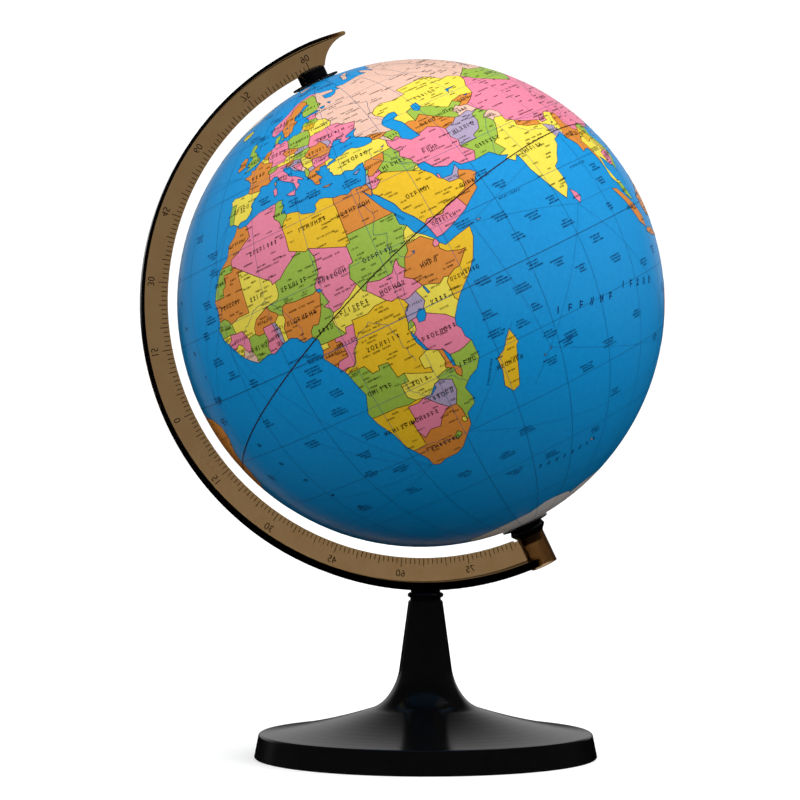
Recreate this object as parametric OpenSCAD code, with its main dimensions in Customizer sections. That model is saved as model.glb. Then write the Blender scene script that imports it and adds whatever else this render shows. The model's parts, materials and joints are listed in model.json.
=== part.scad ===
// Desktop globe on a stand: a printed ball that turns on a tilted axle, held by
// a smoke-brown meridian arm on a black trumpet-shaped base.
// Millimetres, +Z up. The origin is on the column's axis, on the face it stands on.
// The arm lies in the XZ plane, with the north pole leaning towards -X.

/* [Globe] */
// Outer diameter of the ball
globe_d = 200; // [190:1:204]
// Wall thickness of the ball's two shells
shell_t = 1.5; // [1:0.1:2]
// Lean of the ball's axis from the vertical, in degrees
axis_tilt = 25.7; // [23.5:0.1:27]
// Height of the ball's centre above the table
globe_z = 186; // [184:1:190]
// Place of the ball's centre along X, from the column's axis
globe_x = -2; // [-4:0.5:0]

/* [Axle] */
// Diameter of the steel axle through the ball
axle_d = 3; // [2.5:0.1:3.2]
// Radial clearance of the pole bushes on the axle
running_gap = 0.05; // [0.02:0.01:0.1]
// Diameter of the thin washers at the poles
washer_d = 20; // [16:0.5:24]
// Thickness of the thin washers at the poles
washer_t = 0.5; // [0.5:0.1:1]
// Gap between the ball and each washer, on the axis
washer_gap = 0.3; // [0.2:0.1:1]

/* [Arm] */
// Thickness of the clear web that carries the scale
web_t = 2; // [1.6:0.1:2.6]
// Width of the rim, across the web
rim_w = 11; // [9:0.5:11]
// Least thickness of the rim, at the top of the arm
rim_t = 1.4; // [1.2:0.1:1.8]
// Thickness of the rim at its heaviest, near the lower socket
heel_t = 3.4; // [3:0.1:4]
// Outer diameter of the socket tube at the arm's lower end
socket_d = 11.4; // [11:0.1:12]
// Length of the socket tube
socket_h = 13.8; // [12:0.1:15]

/* [Base] */
// Diameter of the base where it meets the table
base_d = 140.6; // [136:0.2:150]
// Height of the base's upright edge
edge_h = 8.9; // [7:0.1:10]
// Wall thickness of the base moulding
wall_t = 2.2; // [2:0.1:2.6]
// Height of the column's shoulder above the table
shoulder_z = 64.3; // [63:0.1:65]
// Thickness of the cover that closes the base
cover_t = 2; // [1.8:0.1:2.4]
// Number of screws that hold the cover
cover_screw_n = 3; // [3:1:5]
// Number of rubber feet
foot_n = 4; // [3:1:6]
// Number of stiffening ribs under the dish
rib_n = 6; // [6:3:12]

/* [Hidden] */
$fn = 96;
arc_n = 10;   // steps in each curved stretch of a turned profile
slip = 0.05;  // radial clearance of parts that are pushed together
cut = 1;      // how far a cutting shape runs past the face that it opens

axle_r = axle_d / 2;
globe_r = globe_d / 2;
washer_in = globe_r + washer_gap;
washer_out = washer_in + washer_t;

// Arm outline, in the plane of the arm, from the ball's centre: X across the axis, Y along it
arm_in_c = [1.5, 0.1];
arm_in_r = globe_r + 5.3;
arm_out_c = [2, -1.3];
arm_out_r = globe_r + 17.4;
heel_angle = -104;                     // direction from the centre where the rim is heaviest
rim_inset = 0.9;
fin_c = [19.4, arm_in_r - 6.6];        // centre of the hollow curve at the arm's upper tip
fin_r = 14.5;
tip_r = 0.75;
tip_c = [19.2, arm_in_r + 8.6];
tongue_y = arm_in_r - 0.6;             // the web's tongue reaches down into the north boss
tongue_w = 11.2;
socket_top = arm_in_r + 0.35;
socket_bore_r = 4.2;

// North boss and south plug
boss_r = 6;
boss_top = arm_in_r + 1;
plug_ridge_r = 7.5;
plug_spigot_h = 3;
axle_top = globe_r + 4.3;
axle_bottom = globe_r + 7.5;

// Pole bushes
bush_r = 4;
bush_flange_r = 8;
bush_flange_t = 1.5;
bush_out = globe_r + washer_gap / 2;
bush_seat = sqrt(pow(globe_r - shell_t, 2) - pow(bush_flange_r, 2)) - slip;

// Base profile, climbing inwards: bend radii, and the slopes where each bend ends
base_r = base_d / 2;
edge_slope = 79.4;
edge_bend_r = 1.2;
dish_slope = 7.2;
dish_bend_r = 256;
throat_slope = 17.5;
throat_bend_r = 14;
flare_slope = 50;
flare_bend_r = 24;
column_slope = 82.3;
foot_chamfer = 0.4;
edge_foot = [base_r, foot_chamfer];
edge_top = [base_r - edge_h / tan(edge_slope), edge_h];

// Column head: groove, bead and seat for the arm
groove_r = 6.3;
groove_h = 1;
bead_r = 7.4;
bead_h = 2.1;
seat_z = shoulder_z + groove_h + bead_h + 0.1;
neck_r = 6.1;
neck_top = 71;
stud_r = 4.5;
stud_z = 54;
floor_z = 51;          // top of the inner floor in the column, under the arm's stud
floor_t = 3;

// Screws, cover, feet and ballast
arm_screw_r = 1.5;
arm_screw_top = 64;
arm_screw_head = [3.2, 2.4];     // radius and height
arm_washer = [4.6, 1];           // radius and thickness
cover_r = 67;
ledge_w = 1.6;
cover_screw_ring = 52;
cover_screw_r = 1.2;
cover_head = [2.7, 1.2];         // radius and height
cover_head_z = 0.2;
cover_screw_top = 9;
screw_post_r = 3.4;
foot_ring = 60;
foot_r = 4.5;
foot_t = 1.2;
ballast_r = 40;
ballast_hole_r = 13;
ballast_t = 2.5;
rib_t = 1.6;
rib_z = 6.4;
rib_in_r = 6.5;
rib_out_r = 66.5;

// Places children in the ball's frame: its centre at the origin, its axis along +Z
module axis_frame() {
    translate([globe_x, 0, globe_z]) rotate([0, -axis_tilt, 0]) children();
}

// Stands a flat outline up in the XZ plane, t thick about Y = 0
module slab(t) {
    rotate([90, 0, 0]) linear_extrude(height = t, center = true) children();
}

// n copies of the children, spaced evenly about the column's axis
module around(n, start = 0) {
    for (i = [0 : n - 1]) rotate([0, 0, start + 360 * i / n]) children();
}

// A tube between two heights
module tube(r_out, r_in, z0, z1) {
    difference() {
        translate([0, 0, z0]) cylinder(r = r_out, h = z1 - z0);
        translate([0, 0, z0 - cut]) cylinder(r = r_in, h = z1 - z0 + 2 * cut);
    }
}

// Points of a bend of radius r that starts at p and turns from slope a0 to slope a1,
// with the slopes in degrees above the level, climbing towards the axis
function climb(p, r, a0, a1) = [
    for (i = [0 : arc_n])
        let (a = a0 + (a1 - a0) * i / arc_n)
        [p[0] - r * (sin(a) - sin(a0)), p[1] + r * (cos(a0) - cos(a))]
];

// A point moved by t into the wall, square to a surface of slope a
function inwards(p, t, a) = [p[0] - t * sin(a), p[1] - t * cos(a)];

function last(points) = points[len(points) - 1];

// The point of a straight column wall, from p upwards, at height z
function column_at(p, z) = [p[0] - (z - p[1]) / tan(column_slope), z];

edge_bend = climb(edge_top, -edge_bend_r, edge_slope, dish_slope);
dish = climb(last(edge_bend), dish_bend_r, dish_slope, throat_slope);
throat = climb(last(dish), throat_bend_r, throat_slope, flare_slope);
flare = climb(last(throat), flare_bend_r, flare_slope, column_slope);

dish_in = climb(inwards(dish[0], wall_t, dish_slope), dish_bend_r + wall_t, dish_slope, throat_slope);
throat_in = climb(last(dish_in), throat_bend_r + wall_t, throat_slope, flare_slope);
flare_in = climb(last(throat_in), flare_bend_r + wall_t, flare_slope, column_slope);

bead = [
    for (i = [0 : arc_n])
        let (a = -90 + 180 * i / arc_n)
        [bead_r - bead_h / 2 + bead_h / 2 * cos(a), shoulder_z + groove_h + bead_h / 2 * (1 + sin(a))]
];

// The outside of the base as one turned solid
module base_outside() {
    rotate_extrude() polygon(concat(
        [[0, 0], [base_r - foot_chamfer, 0], edge_foot],
        edge_bend, dish, throat, flare,
        [column_at(last(flare), shoulder_z - 0.5), column_at(last(flare), shoulder_z) - [0.4, 0]],
        [[groove_r, shoulder_z], [groove_r, shoulder_z + groove_h]],
        bead,
        [[neck_r, seat_z], [0, seat_z]]
    ));
}

// The hollow under the dish and up the column
module base_inside() {
    rotate_extrude() polygon(concat(
        [[0, -cut], [dish_in[0][0], -cut]],
        dish_in, throat_in, flare_in,
        [column_at(last(flare_in), floor_z - floor_t), [0, floor_z - floor_t]]
    ));
}

module rib() {
    translate([rib_in_r, -rib_t / 2, rib_z]) cube([rib_out_r - rib_in_r, rib_t, stud_z - rib_z]);
}

module screw_post() {
    translate([cover_screw_ring, 0, cover_t + slip]) cylinder(r = screw_post_r, h = edge_h + 3);
}

// Black trumpet-shaped base and column, one moulding, with ribs and screw posts underneath
module base_shell() {
    color("#0d0d0f") difference() {
        union() {
            difference() {
                base_outside();
                intersection() {
                    base_inside();
                    translate([0, 0, -cut]) cylinder(r = cover_r - ledge_w, h = shoulder_z);
                }
                translate([0, 0, -cut]) cylinder(r = cover_r + 2 * slip, h = cover_t + slip + cut);
            }
            intersection() {
                base_outside();
                union() {
                    around(rib_n, 180 / rib_n) rib();
                    around(cover_screw_n) screw_post();
                }
            }
        }
        around(cover_screw_n) translate([cover_screw_ring, 0, 0])
            cylinder(r = cover_screw_r + slip, h = cover_screw_top + 0.3);
        translate([0, 0, floor_z - floor_t - cut]) cylinder(r = arm_screw_r + 0.3, h = floor_t + 2 * cut);
        translate([0, 0, floor_z]) cylinder(r = stud_r + slip, h = seat_z);
    }
}

// Flat cover that closes the base, with wells for the feet and the screw heads
module bottom_cover() {
    color("#1a1a1c") difference() {
        cylinder(r = cover_r, h = cover_t);
        around(foot_n, 45) translate([foot_ring, 0, -cut]) cylinder(r = foot_r + slip, h = foot_t + cut);
        around(cover_screw_n) translate([cover_screw_ring, 0, -cut]) {
            cylinder(r = cover_head[0] + 0.2, h = cover_head_z + cover_head[1] + cut);
            cylinder(r = cover_screw_r + 0.2, h = cover_t + 2 * cut);
        }
    }
}

// Screws that hold the cover to the posts
module cover_screws() {
    color("silver") around(cover_screw_n) translate([cover_screw_ring, 0, cover_head_z]) difference() {
        union() {
            cylinder(r = cover_head[0], h = cover_head[1]);
            cylinder(r = cover_screw_r, h = cover_screw_top - cover_head_z);
        }
        cross_recess(cover_head[0]);
    }
}

// A cross-shaped driver recess, sunk into the underside of a screw head of radius r
module cross_recess(r) {
    for (turn = [0, 90]) rotate([0, 0, turn])
        translate([-r * 0.6, -r * 0.12, -cut]) cube([r * 1.2, r * 0.24, cut + r * 0.25]);
}

// Round rubber feet, set flush in the cover
module rubber_feet() {
    color("#2b2b2d") around(foot_n, 45) translate([foot_ring, 0, 0]) cylinder(r = foot_r, h = foot_t);
}

// Steel disc that lies on the cover and keeps the stand from tipping
module ballast_plate() {
    color("#8d9093") tube(ballast_r, ballast_hole_r, cover_t, cover_t + ballast_t);
}

// Screw that pulls the arm's stud down into the column
module arm_screw() {
    head_z = floor_z - floor_t - arm_washer[1] - arm_screw_head[1];
    color("silver") translate([0, 0, head_z]) difference() {
        union() {
            cylinder(r = arm_screw_head[0], h = arm_screw_head[1]);
            cylinder(r = arm_screw_r, h = arm_screw_top - head_z);
        }
        cross_recess(arm_screw_head[0]);
    }
}

module arm_screw_washer() {
    washer_top = floor_z - floor_t;
    color("silver") tube(arm_washer[0], arm_screw_r + 0.2, washer_top - arm_washer[1], washer_top);
}

// Keeps the arm's own half of a ring: all of it left of the axis, and the tip past the north pole
module arm_reach() {
    translate([-2 * globe_r, -2 * globe_r]) square([2 * globe_r, 4 * globe_r]);
    translate([-cut, fin_c[1] - fin_r]) square([tip_c[0] + cut, globe_r]);
}

// Flat outline of the clear web, with the tongue at the north pole and the hooked tip
module web_outline() {
    difference() {
        intersection() {
            difference() {
                translate(arm_out_c) circle(r = arm_out_r);
                translate(arm_in_c) circle(r = arm_in_r);
            }
            arm_reach();
        }
        translate(fin_c) circle(r = fin_r);
    }
    translate([-tongue_w / 2, tongue_y]) square([tongue_w, 2]);
    translate(tip_c) circle(r = tip_r);
}

// Flat outline of the rim: thin along the back of the arm and heavier at the heel
module rim_outline() {
    heel = heel_t - rim_inset;
    intersection() {
        difference() {
            translate(arm_out_c) circle(r = arm_out_r);
            intersection() {
                translate(arm_out_c) circle(r = arm_out_r - rim_t);
                translate(arm_out_c - heel * [cos(heel_angle), sin(heel_angle)])
                    circle(r = arm_out_r - rim_inset);
            }
        }
        arm_reach();
    }
}

// The rim narrows across the web towards the arm's upper tip
module rim_taper() {
    half = rim_w / 2;
    linear_extrude(height = 3 * globe_r, center = true) polygon([
        [-2 * globe_r, -half], [4, -half], [tip_c[0], -tip_r],
        [tip_c[0], tip_r], [4, half], [-2 * globe_r, half]
    ]);
}

// Smoke-brown clear arm in one moulding: web, rim, tip, socket tube and the stud in the column
module meridian_arm() {
    color("#7a6244") difference() {
        union() {
            axis_frame() {
                slab(web_t) web_outline();
                intersection() {
                    slab(rim_w) rim_outline();
                    rim_taper();
                }
                translate([0, 0, -socket_top - socket_h]) cylinder(r = socket_d / 2, h = socket_h);
            }
            translate([0, 0, seat_z]) cylinder(r = neck_r, h = neck_top - seat_z);
            translate([0, 0, stud_z]) cylinder(r = stud_r, h = neck_top - stud_z);
        }
        axis_frame() {
            translate([0, 0, -socket_top - socket_h - 3 * cut])
                cylinder(r = socket_bore_r, h = socket_h + 6 * cut);
            translate([0, 0, -socket_top]) cylinder(r = plug_ridge_r + 0.2, h = socket_top - globe_r);
        }
        translate([0, 0, stud_z - cut]) cylinder(r = arm_screw_r + slip, h = arm_screw_top + 0.5 + cut - stud_z);
    }
}

// Black pivot boss under the arm at the north pole, slotted for the web's tongue
module north_boss() {
    color("#0d0d0f") axis_frame() difference() {
        rotate_extrude() polygon([
            [0, washer_out], [boss_r, washer_out], [boss_r, boss_top - 1.2], [boss_r - 0.8, boss_top - 0.4],
            [boss_r - 2.4, boss_top], [0, boss_top]
        ]);
        translate([-boss_r - cut, -web_t / 2 - slip, tongue_y - slip])
            cube([2 * (boss_r + cut), web_t + 2 * slip, boss_top]);
        translate([0, 0, washer_in]) cylinder(r = axle_r + slip, h = axle_top + slip - washer_in);
    }
}

module north_washer() {
    color("#0d0d0f") axis_frame() tube(washer_d / 2, axle_r + slip, washer_in, washer_out);
}

// Black stepped plug in the mouth of the socket tube at the south pole
module south_plug() {
    color("#0d0d0f") axis_frame() difference() {
        rotate_extrude() polygon([
            [0, -washer_out], [plug_ridge_r - 0.9, -washer_out], [plug_ridge_r, -washer_out - 2.2],
            [plug_ridge_r, -washer_out - 2.7], [socket_d / 2, -socket_top],
            [socket_bore_r - slip, -socket_top], [socket_bore_r - slip, -socket_top - plug_spigot_h],
            [0, -socket_top - plug_spigot_h]
        ]);
        translate([0, 0, -axle_bottom - slip]) cylinder(r = axle_r + slip, h = axle_bottom);
    }
}

module south_washer() {
    color("#0d0d0f") axis_frame() tube(washer_d / 2, axle_r + slip, -washer_out, -washer_in);
}

// Straight steel axle from the south plug, through the ball, to the north boss
module axle_rod() {
    color("silver") axis_frame()
        translate([0, 0, -axle_bottom]) cylinder(r = axle_r, h = axle_top + axle_bottom);
}

// One thin shell of the ball, on the north side (side = 1) or the south side (side = -1)
module half_ball(side) {
    axis_frame() difference() {
        sphere(r = globe_r);
        sphere(r = globe_r - shell_t);
        translate([0, 0, -side * globe_r]) cube([2 * globe_r + 2 * cut, 2 * globe_r + 2 * cut, 2 * globe_r], center = true);
        translate([0, 0, side * globe_r]) cylinder(r = bush_r + slip, h = globe_r, center = true);
    }
}

module globe_north_half() {
    color("#2f9be0") half_ball(1);
}

module globe_south_half() {
    color("#1c6fae") half_ball(-1);
}

// Hoop inside the ball that joins its two shells at the equator
module equator_band() {
    half = 4;
    outer = sqrt(pow(globe_r - shell_t, 2) - pow(half, 2)) - slip;
    color("#e8e8e4") axis_frame() tube(outer, outer - 1.2, -half, half);
}

// Bush in a pole hole of the ball, flanged inside the shell; it turns on the axle
module pole_bush(side) {
    axis_frame() rotate([side > 0 ? 0 : 180, 0, 0]) {
        tube(bush_flange_r, axle_r + running_gap, bush_seat - bush_flange_t, bush_seat);
        tube(bush_r, axle_r + running_gap, bush_seat - bush_flange_t, bush_out);
    }
}

module north_bush() {
    color("#dcdcd8") pole_bush(1);
}

module south_bush() {
    color("#dcdcd8") pole_bush(-1);
}

base_shell();
bottom_cover();
cover_screws();
rubber_feet();
ballast_plate();
arm_screw();
arm_screw_washer();
meridian_arm();
north_boss();
north_washer();
south_plug();
south_washer();
axle_rod();
globe_north_half();
globe_south_half();
equator_band();
north_bush();
south_bush();
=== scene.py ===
"""Looks of a desktop globe: a printed ball on a clear brown arm, over a glossy black foot."""

import json
import logging
import math
import random
from collections.abc import Iterable, Sequence
from dataclasses import dataclass, field
from enum import Enum

import bpy
import numpy as np
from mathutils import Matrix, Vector
from mathutils.geometry import delaunay_2d_cdt


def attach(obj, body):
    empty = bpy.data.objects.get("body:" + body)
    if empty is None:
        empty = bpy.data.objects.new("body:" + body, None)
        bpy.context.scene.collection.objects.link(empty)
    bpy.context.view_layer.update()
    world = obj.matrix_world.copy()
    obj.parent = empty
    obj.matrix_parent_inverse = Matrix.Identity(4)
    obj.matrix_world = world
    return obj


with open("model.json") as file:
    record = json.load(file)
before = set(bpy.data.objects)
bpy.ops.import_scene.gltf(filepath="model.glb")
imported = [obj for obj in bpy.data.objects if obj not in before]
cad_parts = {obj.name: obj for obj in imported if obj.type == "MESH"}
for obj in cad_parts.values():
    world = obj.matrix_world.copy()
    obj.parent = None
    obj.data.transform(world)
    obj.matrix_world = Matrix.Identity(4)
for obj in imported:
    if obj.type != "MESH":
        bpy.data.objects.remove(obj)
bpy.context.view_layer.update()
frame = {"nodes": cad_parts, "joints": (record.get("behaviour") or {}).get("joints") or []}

log = logging.getLogger("globe")

MM = 0.001
Place = tuple[float, float]
# Places are typed as longitude,latitude in degrees east and north.
# Each outline of land is one closed loop.
LAND_LOOPS = {
    "old_world": """
        -5.9,35.8 -5.3,35.9 -5.2,35.3 -3.9,35.2 -2.9,35.3 -2.2,35.1 -0.6,35.8 0.1,36 3,36.8 5.1,36.8 7.8,37
        8.7,37 9.8,37.3 11,37.1 10.6,36.4 11.1,35.4 10.1,33.9 11,33.6 11.5,33.1 13.2,32.9 15.2,32.3 15.7,31.4
        18,30.7 19.2,30.3 20,30.9 20,32.1 21.6,32.9 23,32.6 25.2,31.6 27.3,31.4 29,30.8 30.4,31.5 31.8,31.5
        33.2,31.1 34.3,31.3 34.7,32 35,32.8 35.8,34.5 35.8,35.8 36.1,36.8 34.6,36.7 32.8,36 30.7,36.8 29.2,36.3
        28.2,36.7 27.3,37 27.1,38 26.5,38.5 26.9,39.3 26.1,39.5 26.3,40.1 27.8,40.4 29.4,40.6 29.3,41.2
        31.5,41.4 33.4,42 35.1,42 36.4,41.3 38.6,40.9 41,41 41.6,41.7 41.3,42.7 39.6,43.6 37.6,44.7 37.4,45.4
        38,46.3 39.2,47.1 38.2,47.1 35.3,46.3 34.9,45.6 36.5,45.4 35.3,45 33.6,44.5 32.6,45.4 33.6,46 31.8,46.5
        30.7,46.4 29.7,45.1 28.6,44 28,43.2 27.6,42.5 29,41.2 27.4,41 26.4,40.3 26,40.8 24.4,40.9 23.9,40
        22.7,40.4 23.1,39.2 24,38.2 24,37.7 23,37.9 23.1,36.5 21.7,36.8 21.2,38.2 20.2,39.5 19.4,40.4 19.5,41.6
        18.4,42.4 16,43.5 15.1,44.6 14.4,45.3 13.8,44.8 13.6,45.7 12.4,45.4 12.4,44.7 13.6,43.6 14.2,42.5
        16.1,41.8 18.5,40.2 18.4,39.8 16.9,40.5 16.6,39.7 17.2,39 15.9,37.9 15.7,38.9 15.3,40.1 14,40.9
        12.2,41.8 10.6,42.9 10.1,44 8.9,44.4 7.4,43.7 6.2,43.1 4,43.5 3.1,43.1 3.3,42.3 2.2,41.4 0.9,40.8
        -0.3,39.5 0.2,38.7 -0.7,37.6 -2.1,36.7 -4.4,36.7 -5.6,36 -6.4,36.6 -7.9,37 -9,37 -9.4,38.8 -8.8,41.1
        -8.8,42.5 -9.3,43.1 -7.7,43.8 -4.5,43.4 -1.7,43.4 -1.2,44.8 -1.2,46.1 -2.6,47.3 -4.7,48.2 -1.5,48.7
        -1.7,49.7 0.2,49.6 1.6,50.8 4,51.9 4.8,53 7.1,53.5 8.6,53.9 8.2,55.5 8.3,56.9 10.6,57.7 10.8,56.3
        9.8,55.2 10,54.6 11,54 13,54.4 14.3,53.9 17,54.7 18.8,54.4 20,54.8 21.1,55.7 21.1,56.9 22.6,57.7
        24.1,57.1 24.4,58.2 23.5,59.1 25.5,59.6 28,59.5 30.1,59.9 28.4,60.6 25,60.2 22.9,59.9 21.4,60.9
        21.4,63.1 25.3,65 24.2,65.8 22.2,65.6 20.5,63.7 17.5,62.3 17.2,60.7 18.8,59.7 16.8,58.4 16.4,56.7
        14.3,55.5 12.9,55.5 11.8,57.6 10.8,59.3 8.5,58.2 7,58 5.4,58.9 5.1,60.5 5.3,62.1 9,63.6 12.3,65.5
        14.5,67.3 17,68.9 21,70 25.8,71 31,70.4 33,69.4 41,67.8 40.5,66.5 34,66.8 34.8,64.5 37.5,63.9 40.5,64.7
        42.2,66.5 44.5,66.3 43.5,68.4 48,67.7 54,68.4 60.5,69.2 67,68.9 67,71.2 70,73 72.6,71.2 72,68.5
        74.5,70.5 76,72.3 80.5,72.2 82,73.6 87,75 98,76.3 104,77.7 112,76 109.5,73.9 120,73 126.5,73.6
        131.5,70.9 139,71.8 152,70.9 161,69.5 170,69.6 177,69.7 182.5,68 190.3,66.1 186.5,64.4 181,65.6 179,62.4
        174.5,61.7 170.3,59.9 163.8,59.8 162.8,57.8 161.9,55.2 159.9,53.1 156.7,51 155.7,55 157.2,57.8
        161.9,60.4 163.6,62.5 157,61.7 154.5,59.5 149,59.5 143,59.2 137,54.4 141.3,53.2 140.5,50.5 140.4,48
        136,44.5 131.9,43.1 129.7,41 127.5,39.7 129.3,37.2 129.1,35.2 126.5,34.5 126.6,37.2 125,38.2 124.4,40
        121.3,38.8 121.7,40.8 117.8,39 119,37.3 122.5,37.3 119.4,35.1 120.9,32.7 121.9,31.2 121.3,30.2 121.9,29
        119.6,25.8 116.8,23.3 114,22.4 110.4,21.2 110,20.4 109.6,21.5 108,21.6 106.6,20.4 105.8,18.9 108.9,15.4
        109.3,12.4 106.8,10.4 104.8,8.7 105,10.1 103.2,10.8 101,12.7 100.1,13.4 99.2,10.5 100.5,7.3 102.3,6.1
        103.4,3.6 104.2,1.4 103.4,1.4 101.3,3 100.3,5.8 98.4,8 98.7,10.5 98.5,13 97.6,16.3 96,16.5 94.3,16
        94.4,18.3 92.3,20.8 91.5,22.7 90,22.2 87.3,21.6 86.6,20.2 84,18.4 82.2,16.6 80.2,15.7 80.3,13 79.8,10.4
        78.3,9 77.5,8.1 76.3,9.9 74.8,12.9 73,17.5 72.8,20.5 72.5,22.1 71,20.8 69.1,22.3 70.3,22.9 68.2,23.6
        67,24.8 66.3,25.4 61.6,25.1 57.8,25.6 56.7,27.1 54.5,26.6 51.5,27.8 50.1,30.1 48,30 48.3,28.5 50.1,26.6
        50.8,24.9 51,26.1 51.5,25.5 51.4,24.4 54.2,24.2 56.3,26.2 56.5,24.6 58.8,23.5 59.8,22.4 57.8,20.2
        57.7,19 55.3,17.6 52.2,15.6 48.5,14 45,12.8 43.4,12.7 42.9,15 42.3,16.9 41,19.1 39.1,21.4 38.3,23.8
        35.6,27.4 34.7,28.1 35,29.4 34.3,27.8 32.6,29.9 33.7,27.6 35.5,24 37.2,21.8 37.2,19 38.6,18 39.3,15.9
        41.2,14.4 43.1,12.3 43.3,11.5 44.4,10.4 47.4,11.2 51.2,11.9 50.8,9.5 48.5,5.3 46,2.5 42.6,-0.4 41,-2.2
        39.2,-4.7 38.8,-6.3 39.5,-7.3 39.6,-9.3 40.5,-10.6 40.6,-14.8 39,-17 37,-17.9 34.8,-19.8 35.5,-22.3
        35.4,-24 32.8,-25.6 32.4,-28.4 31,-29.9 27.9,-33 25.7,-34 22.1,-34.1 20,-34.8 18.4,-34.2 18.2,-32
        17.2,-30.2 15.2,-26.8 14.4,-22.9 12.5,-18.8 11.8,-16 13.8,-11.8 13,-8.8 12.2,-5.6 11.1,-3.9 8.9,-0.7
        9.6,1 9.7,3.5 8.5,4.6 6.1,4.3 5,5.8 3.4,6.4 1.1,6 -2.1,4.8 -4,5.2 -7.6,4.4 -9.5,5.4 -11.5,6.8 -13.2,8.6
        -15.1,10.9 -16.7,12.4 -16.7,13.6 -17.4,14.7 -16.5,16 -16.2,18.9 -17,20.9 -16.2,22.9 -14.8,25.4
        -13.2,27.6 -10.2,29.4 -9.7,30.6 -9.3,32.3 -6.9,34""",
    "madagascar": """
        49.3,-12 50.3,-15.5 49.6,-16 47.1,-24.9 45.2,-25.6 43.6,-23.5 44.4,-20 44.2,-17 46.5,-15.6 48,-13.5""",
    "sri_lanka": "79.9,9.7 81.3,8.4 81.7,7 80.6,5.9 79.8,7.3",
    "great_britain": """
        -5.2,58.5 -3.1,58.6 -2,57.5 -3.2,56.1 -1.6,55.5 0.3,53.3 1.7,52.6 1.2,51.3 -3.4,50.4 -5.6,50.1 -3,51.4
        -5.2,51.9 -4.2,52.9 -3,53.6 -3.5,54.7 -5,54.8 -5.5,56.2""",
    "ireland": "-6.1,52.2 -6.1,53.8 -5.6,54.6 -7.5,55.3 -10,54.2 -9.3,53.2 -10.2,52 -9.4,51.5",
    "iceland": "-22.5,64 -18.8,63.4 -14.6,64.4 -14.9,65.7 -16.5,66.4 -20.3,65.9 -23,66.3 -24.2,65.4 -21.9,64.6",
    "sicily": "12.5,37.9 15.5,38.2 15.2,36.8 13.8,37.1",
    "sardinia": "8.3,40.8 9.5,41.1 9.6,39.2 8.5,39",
    "corsica": "8.8,42.5 9.4,42.9 9.4,41.9 9.1,41.4",
    "crete": "23.6,35.5 26.2,35.2 24.8,34.9 23.6,35.2",
    "cyprus": "32.4,35 34.4,35.6 33.9,35 33,34.6",
    "zealand": "11.2,55.7 12.5,56 12.2,55.1 11.2,55.2",
    "spitsbergen": "15.5,76.6 21.5,78.2 27,80.1 17.5,80.2 11,79.3",
    "new_land": "51.8,71 55.5,70.7 57,72.5 62,75 68.5,76.8 65,77 56.5,75.3",
    "north_land": "95.5,79.3 101,78.3 105,78.8 100,81 93.5,81",
    "new_siberia": "138.5,75.8 147,74.9 150.5,75.3 141,76.1",
    "socotra": "53.3,12.6 54.5,12.5 53.7,12.2",
    "sakhalin": "142,45.9 143.3,49.2 143,53.5 142.3,54.3 141.8,51.5",
    "hokkaido": "140,41.5 143.2,42 145.4,43.6 141.8,45.4",
    "honshu": """
        131,34.3 133,35.6 136,35.7 137.3,37.4 139.5,38.5 140.1,41 141.5,41.3 142,39.5 140.8,35.7 138.8,34.8
        135.8,33.5 135.2,34.5 132.5,34.3""",
    "kyushu": "129.8,33.4 131.6,33.6 131.4,31.4 130.3,31.1",
    "shikoku": "132.5,33.9 134.4,34.2 134.2,33.3 132.9,32.9",
    "taiwan": "121.5,25.2 120.9,21.9 120.1,23.1",
    "hainan": "108.7,19.4 111,20 109.6,18.3",
    "luzon": "120.6,18.5 122.2,18.4 121.6,15.8 124,13 123.5,12.8 120.7,13.8 119.9,16.3",
    "visayas": "122,11.7 125.3,12.4 125.2,10.2 123,9.2",
    "mindanao": "122.1,7.4 125.5,9.7 126.3,7.3 125.5,5.8",
    "palawan": "117.3,8.4 119.5,11.3 119.2,10.2",
    "borneo": """
        109,1.5 111.3,2.5 113.5,3.5 116.8,7 119.2,5.2 117.7,3.5 118.9,1 116.5,-1.8 116,-4 111.8,-3.4 110.1,-1.4""",
    "sumatra": "95.3,5.6 97.6,5.2 103.5,0 106,-3 105.8,-5.8 102.3,-4 98.7,1.7",
    "java": "105.3,-6.7 106.5,-6 110.8,-6.4 114.5,-7.8 114.3,-8.7 108.5,-7.8",
    "lesser_sundas": "115.2,-8.3 119,-8.3 123,-8.3 122.8,-8.9 116.5,-9",
    "timor": "123.6,-10.3 127.2,-8.4 125,-8.9",
    "celebes": """
        119.5,-5.5 119,-3.3 120,0.9 123.5,0.9 125.1,1.6 124.3,0.4 120.5,0.5 121.2,-0.9 123.3,-0.8 121.5,-2
        122.9,-4.2 121.2,-2.8 120.4,-5.6""",
    "halmahera": "127.5,1.9 128.6,1.2 127.8,-0.8 127.6,0.8",
    "seram": "128,-3.2 130.8,-3.3 130.5,-3.8 128.1,-3.5",
    "new_guinea": """
        131,-0.9 134,-0.8 135,-3.3 138,-1.6 141,-2.6 145,-4.3 147.8,-6 147.2,-7 150.8,-10.4 147,-9.5 144,-7.7
        142.5,-9.2 138,-8.3 138.5,-6.7 133,-4.1 132.8,-2.7 130.9,-1.4""",
    "new_britain": "148.4,-5.7 151.8,-4.4 152,-5.5 149.8,-6.3",
    "solomons": "154.8,-5.5 159.8,-8.4 161.8,-10.5 157.3,-8.6",
    "new_caledonia": "164.1,-20.2 167,-22.3 165.5,-21.8",
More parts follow.
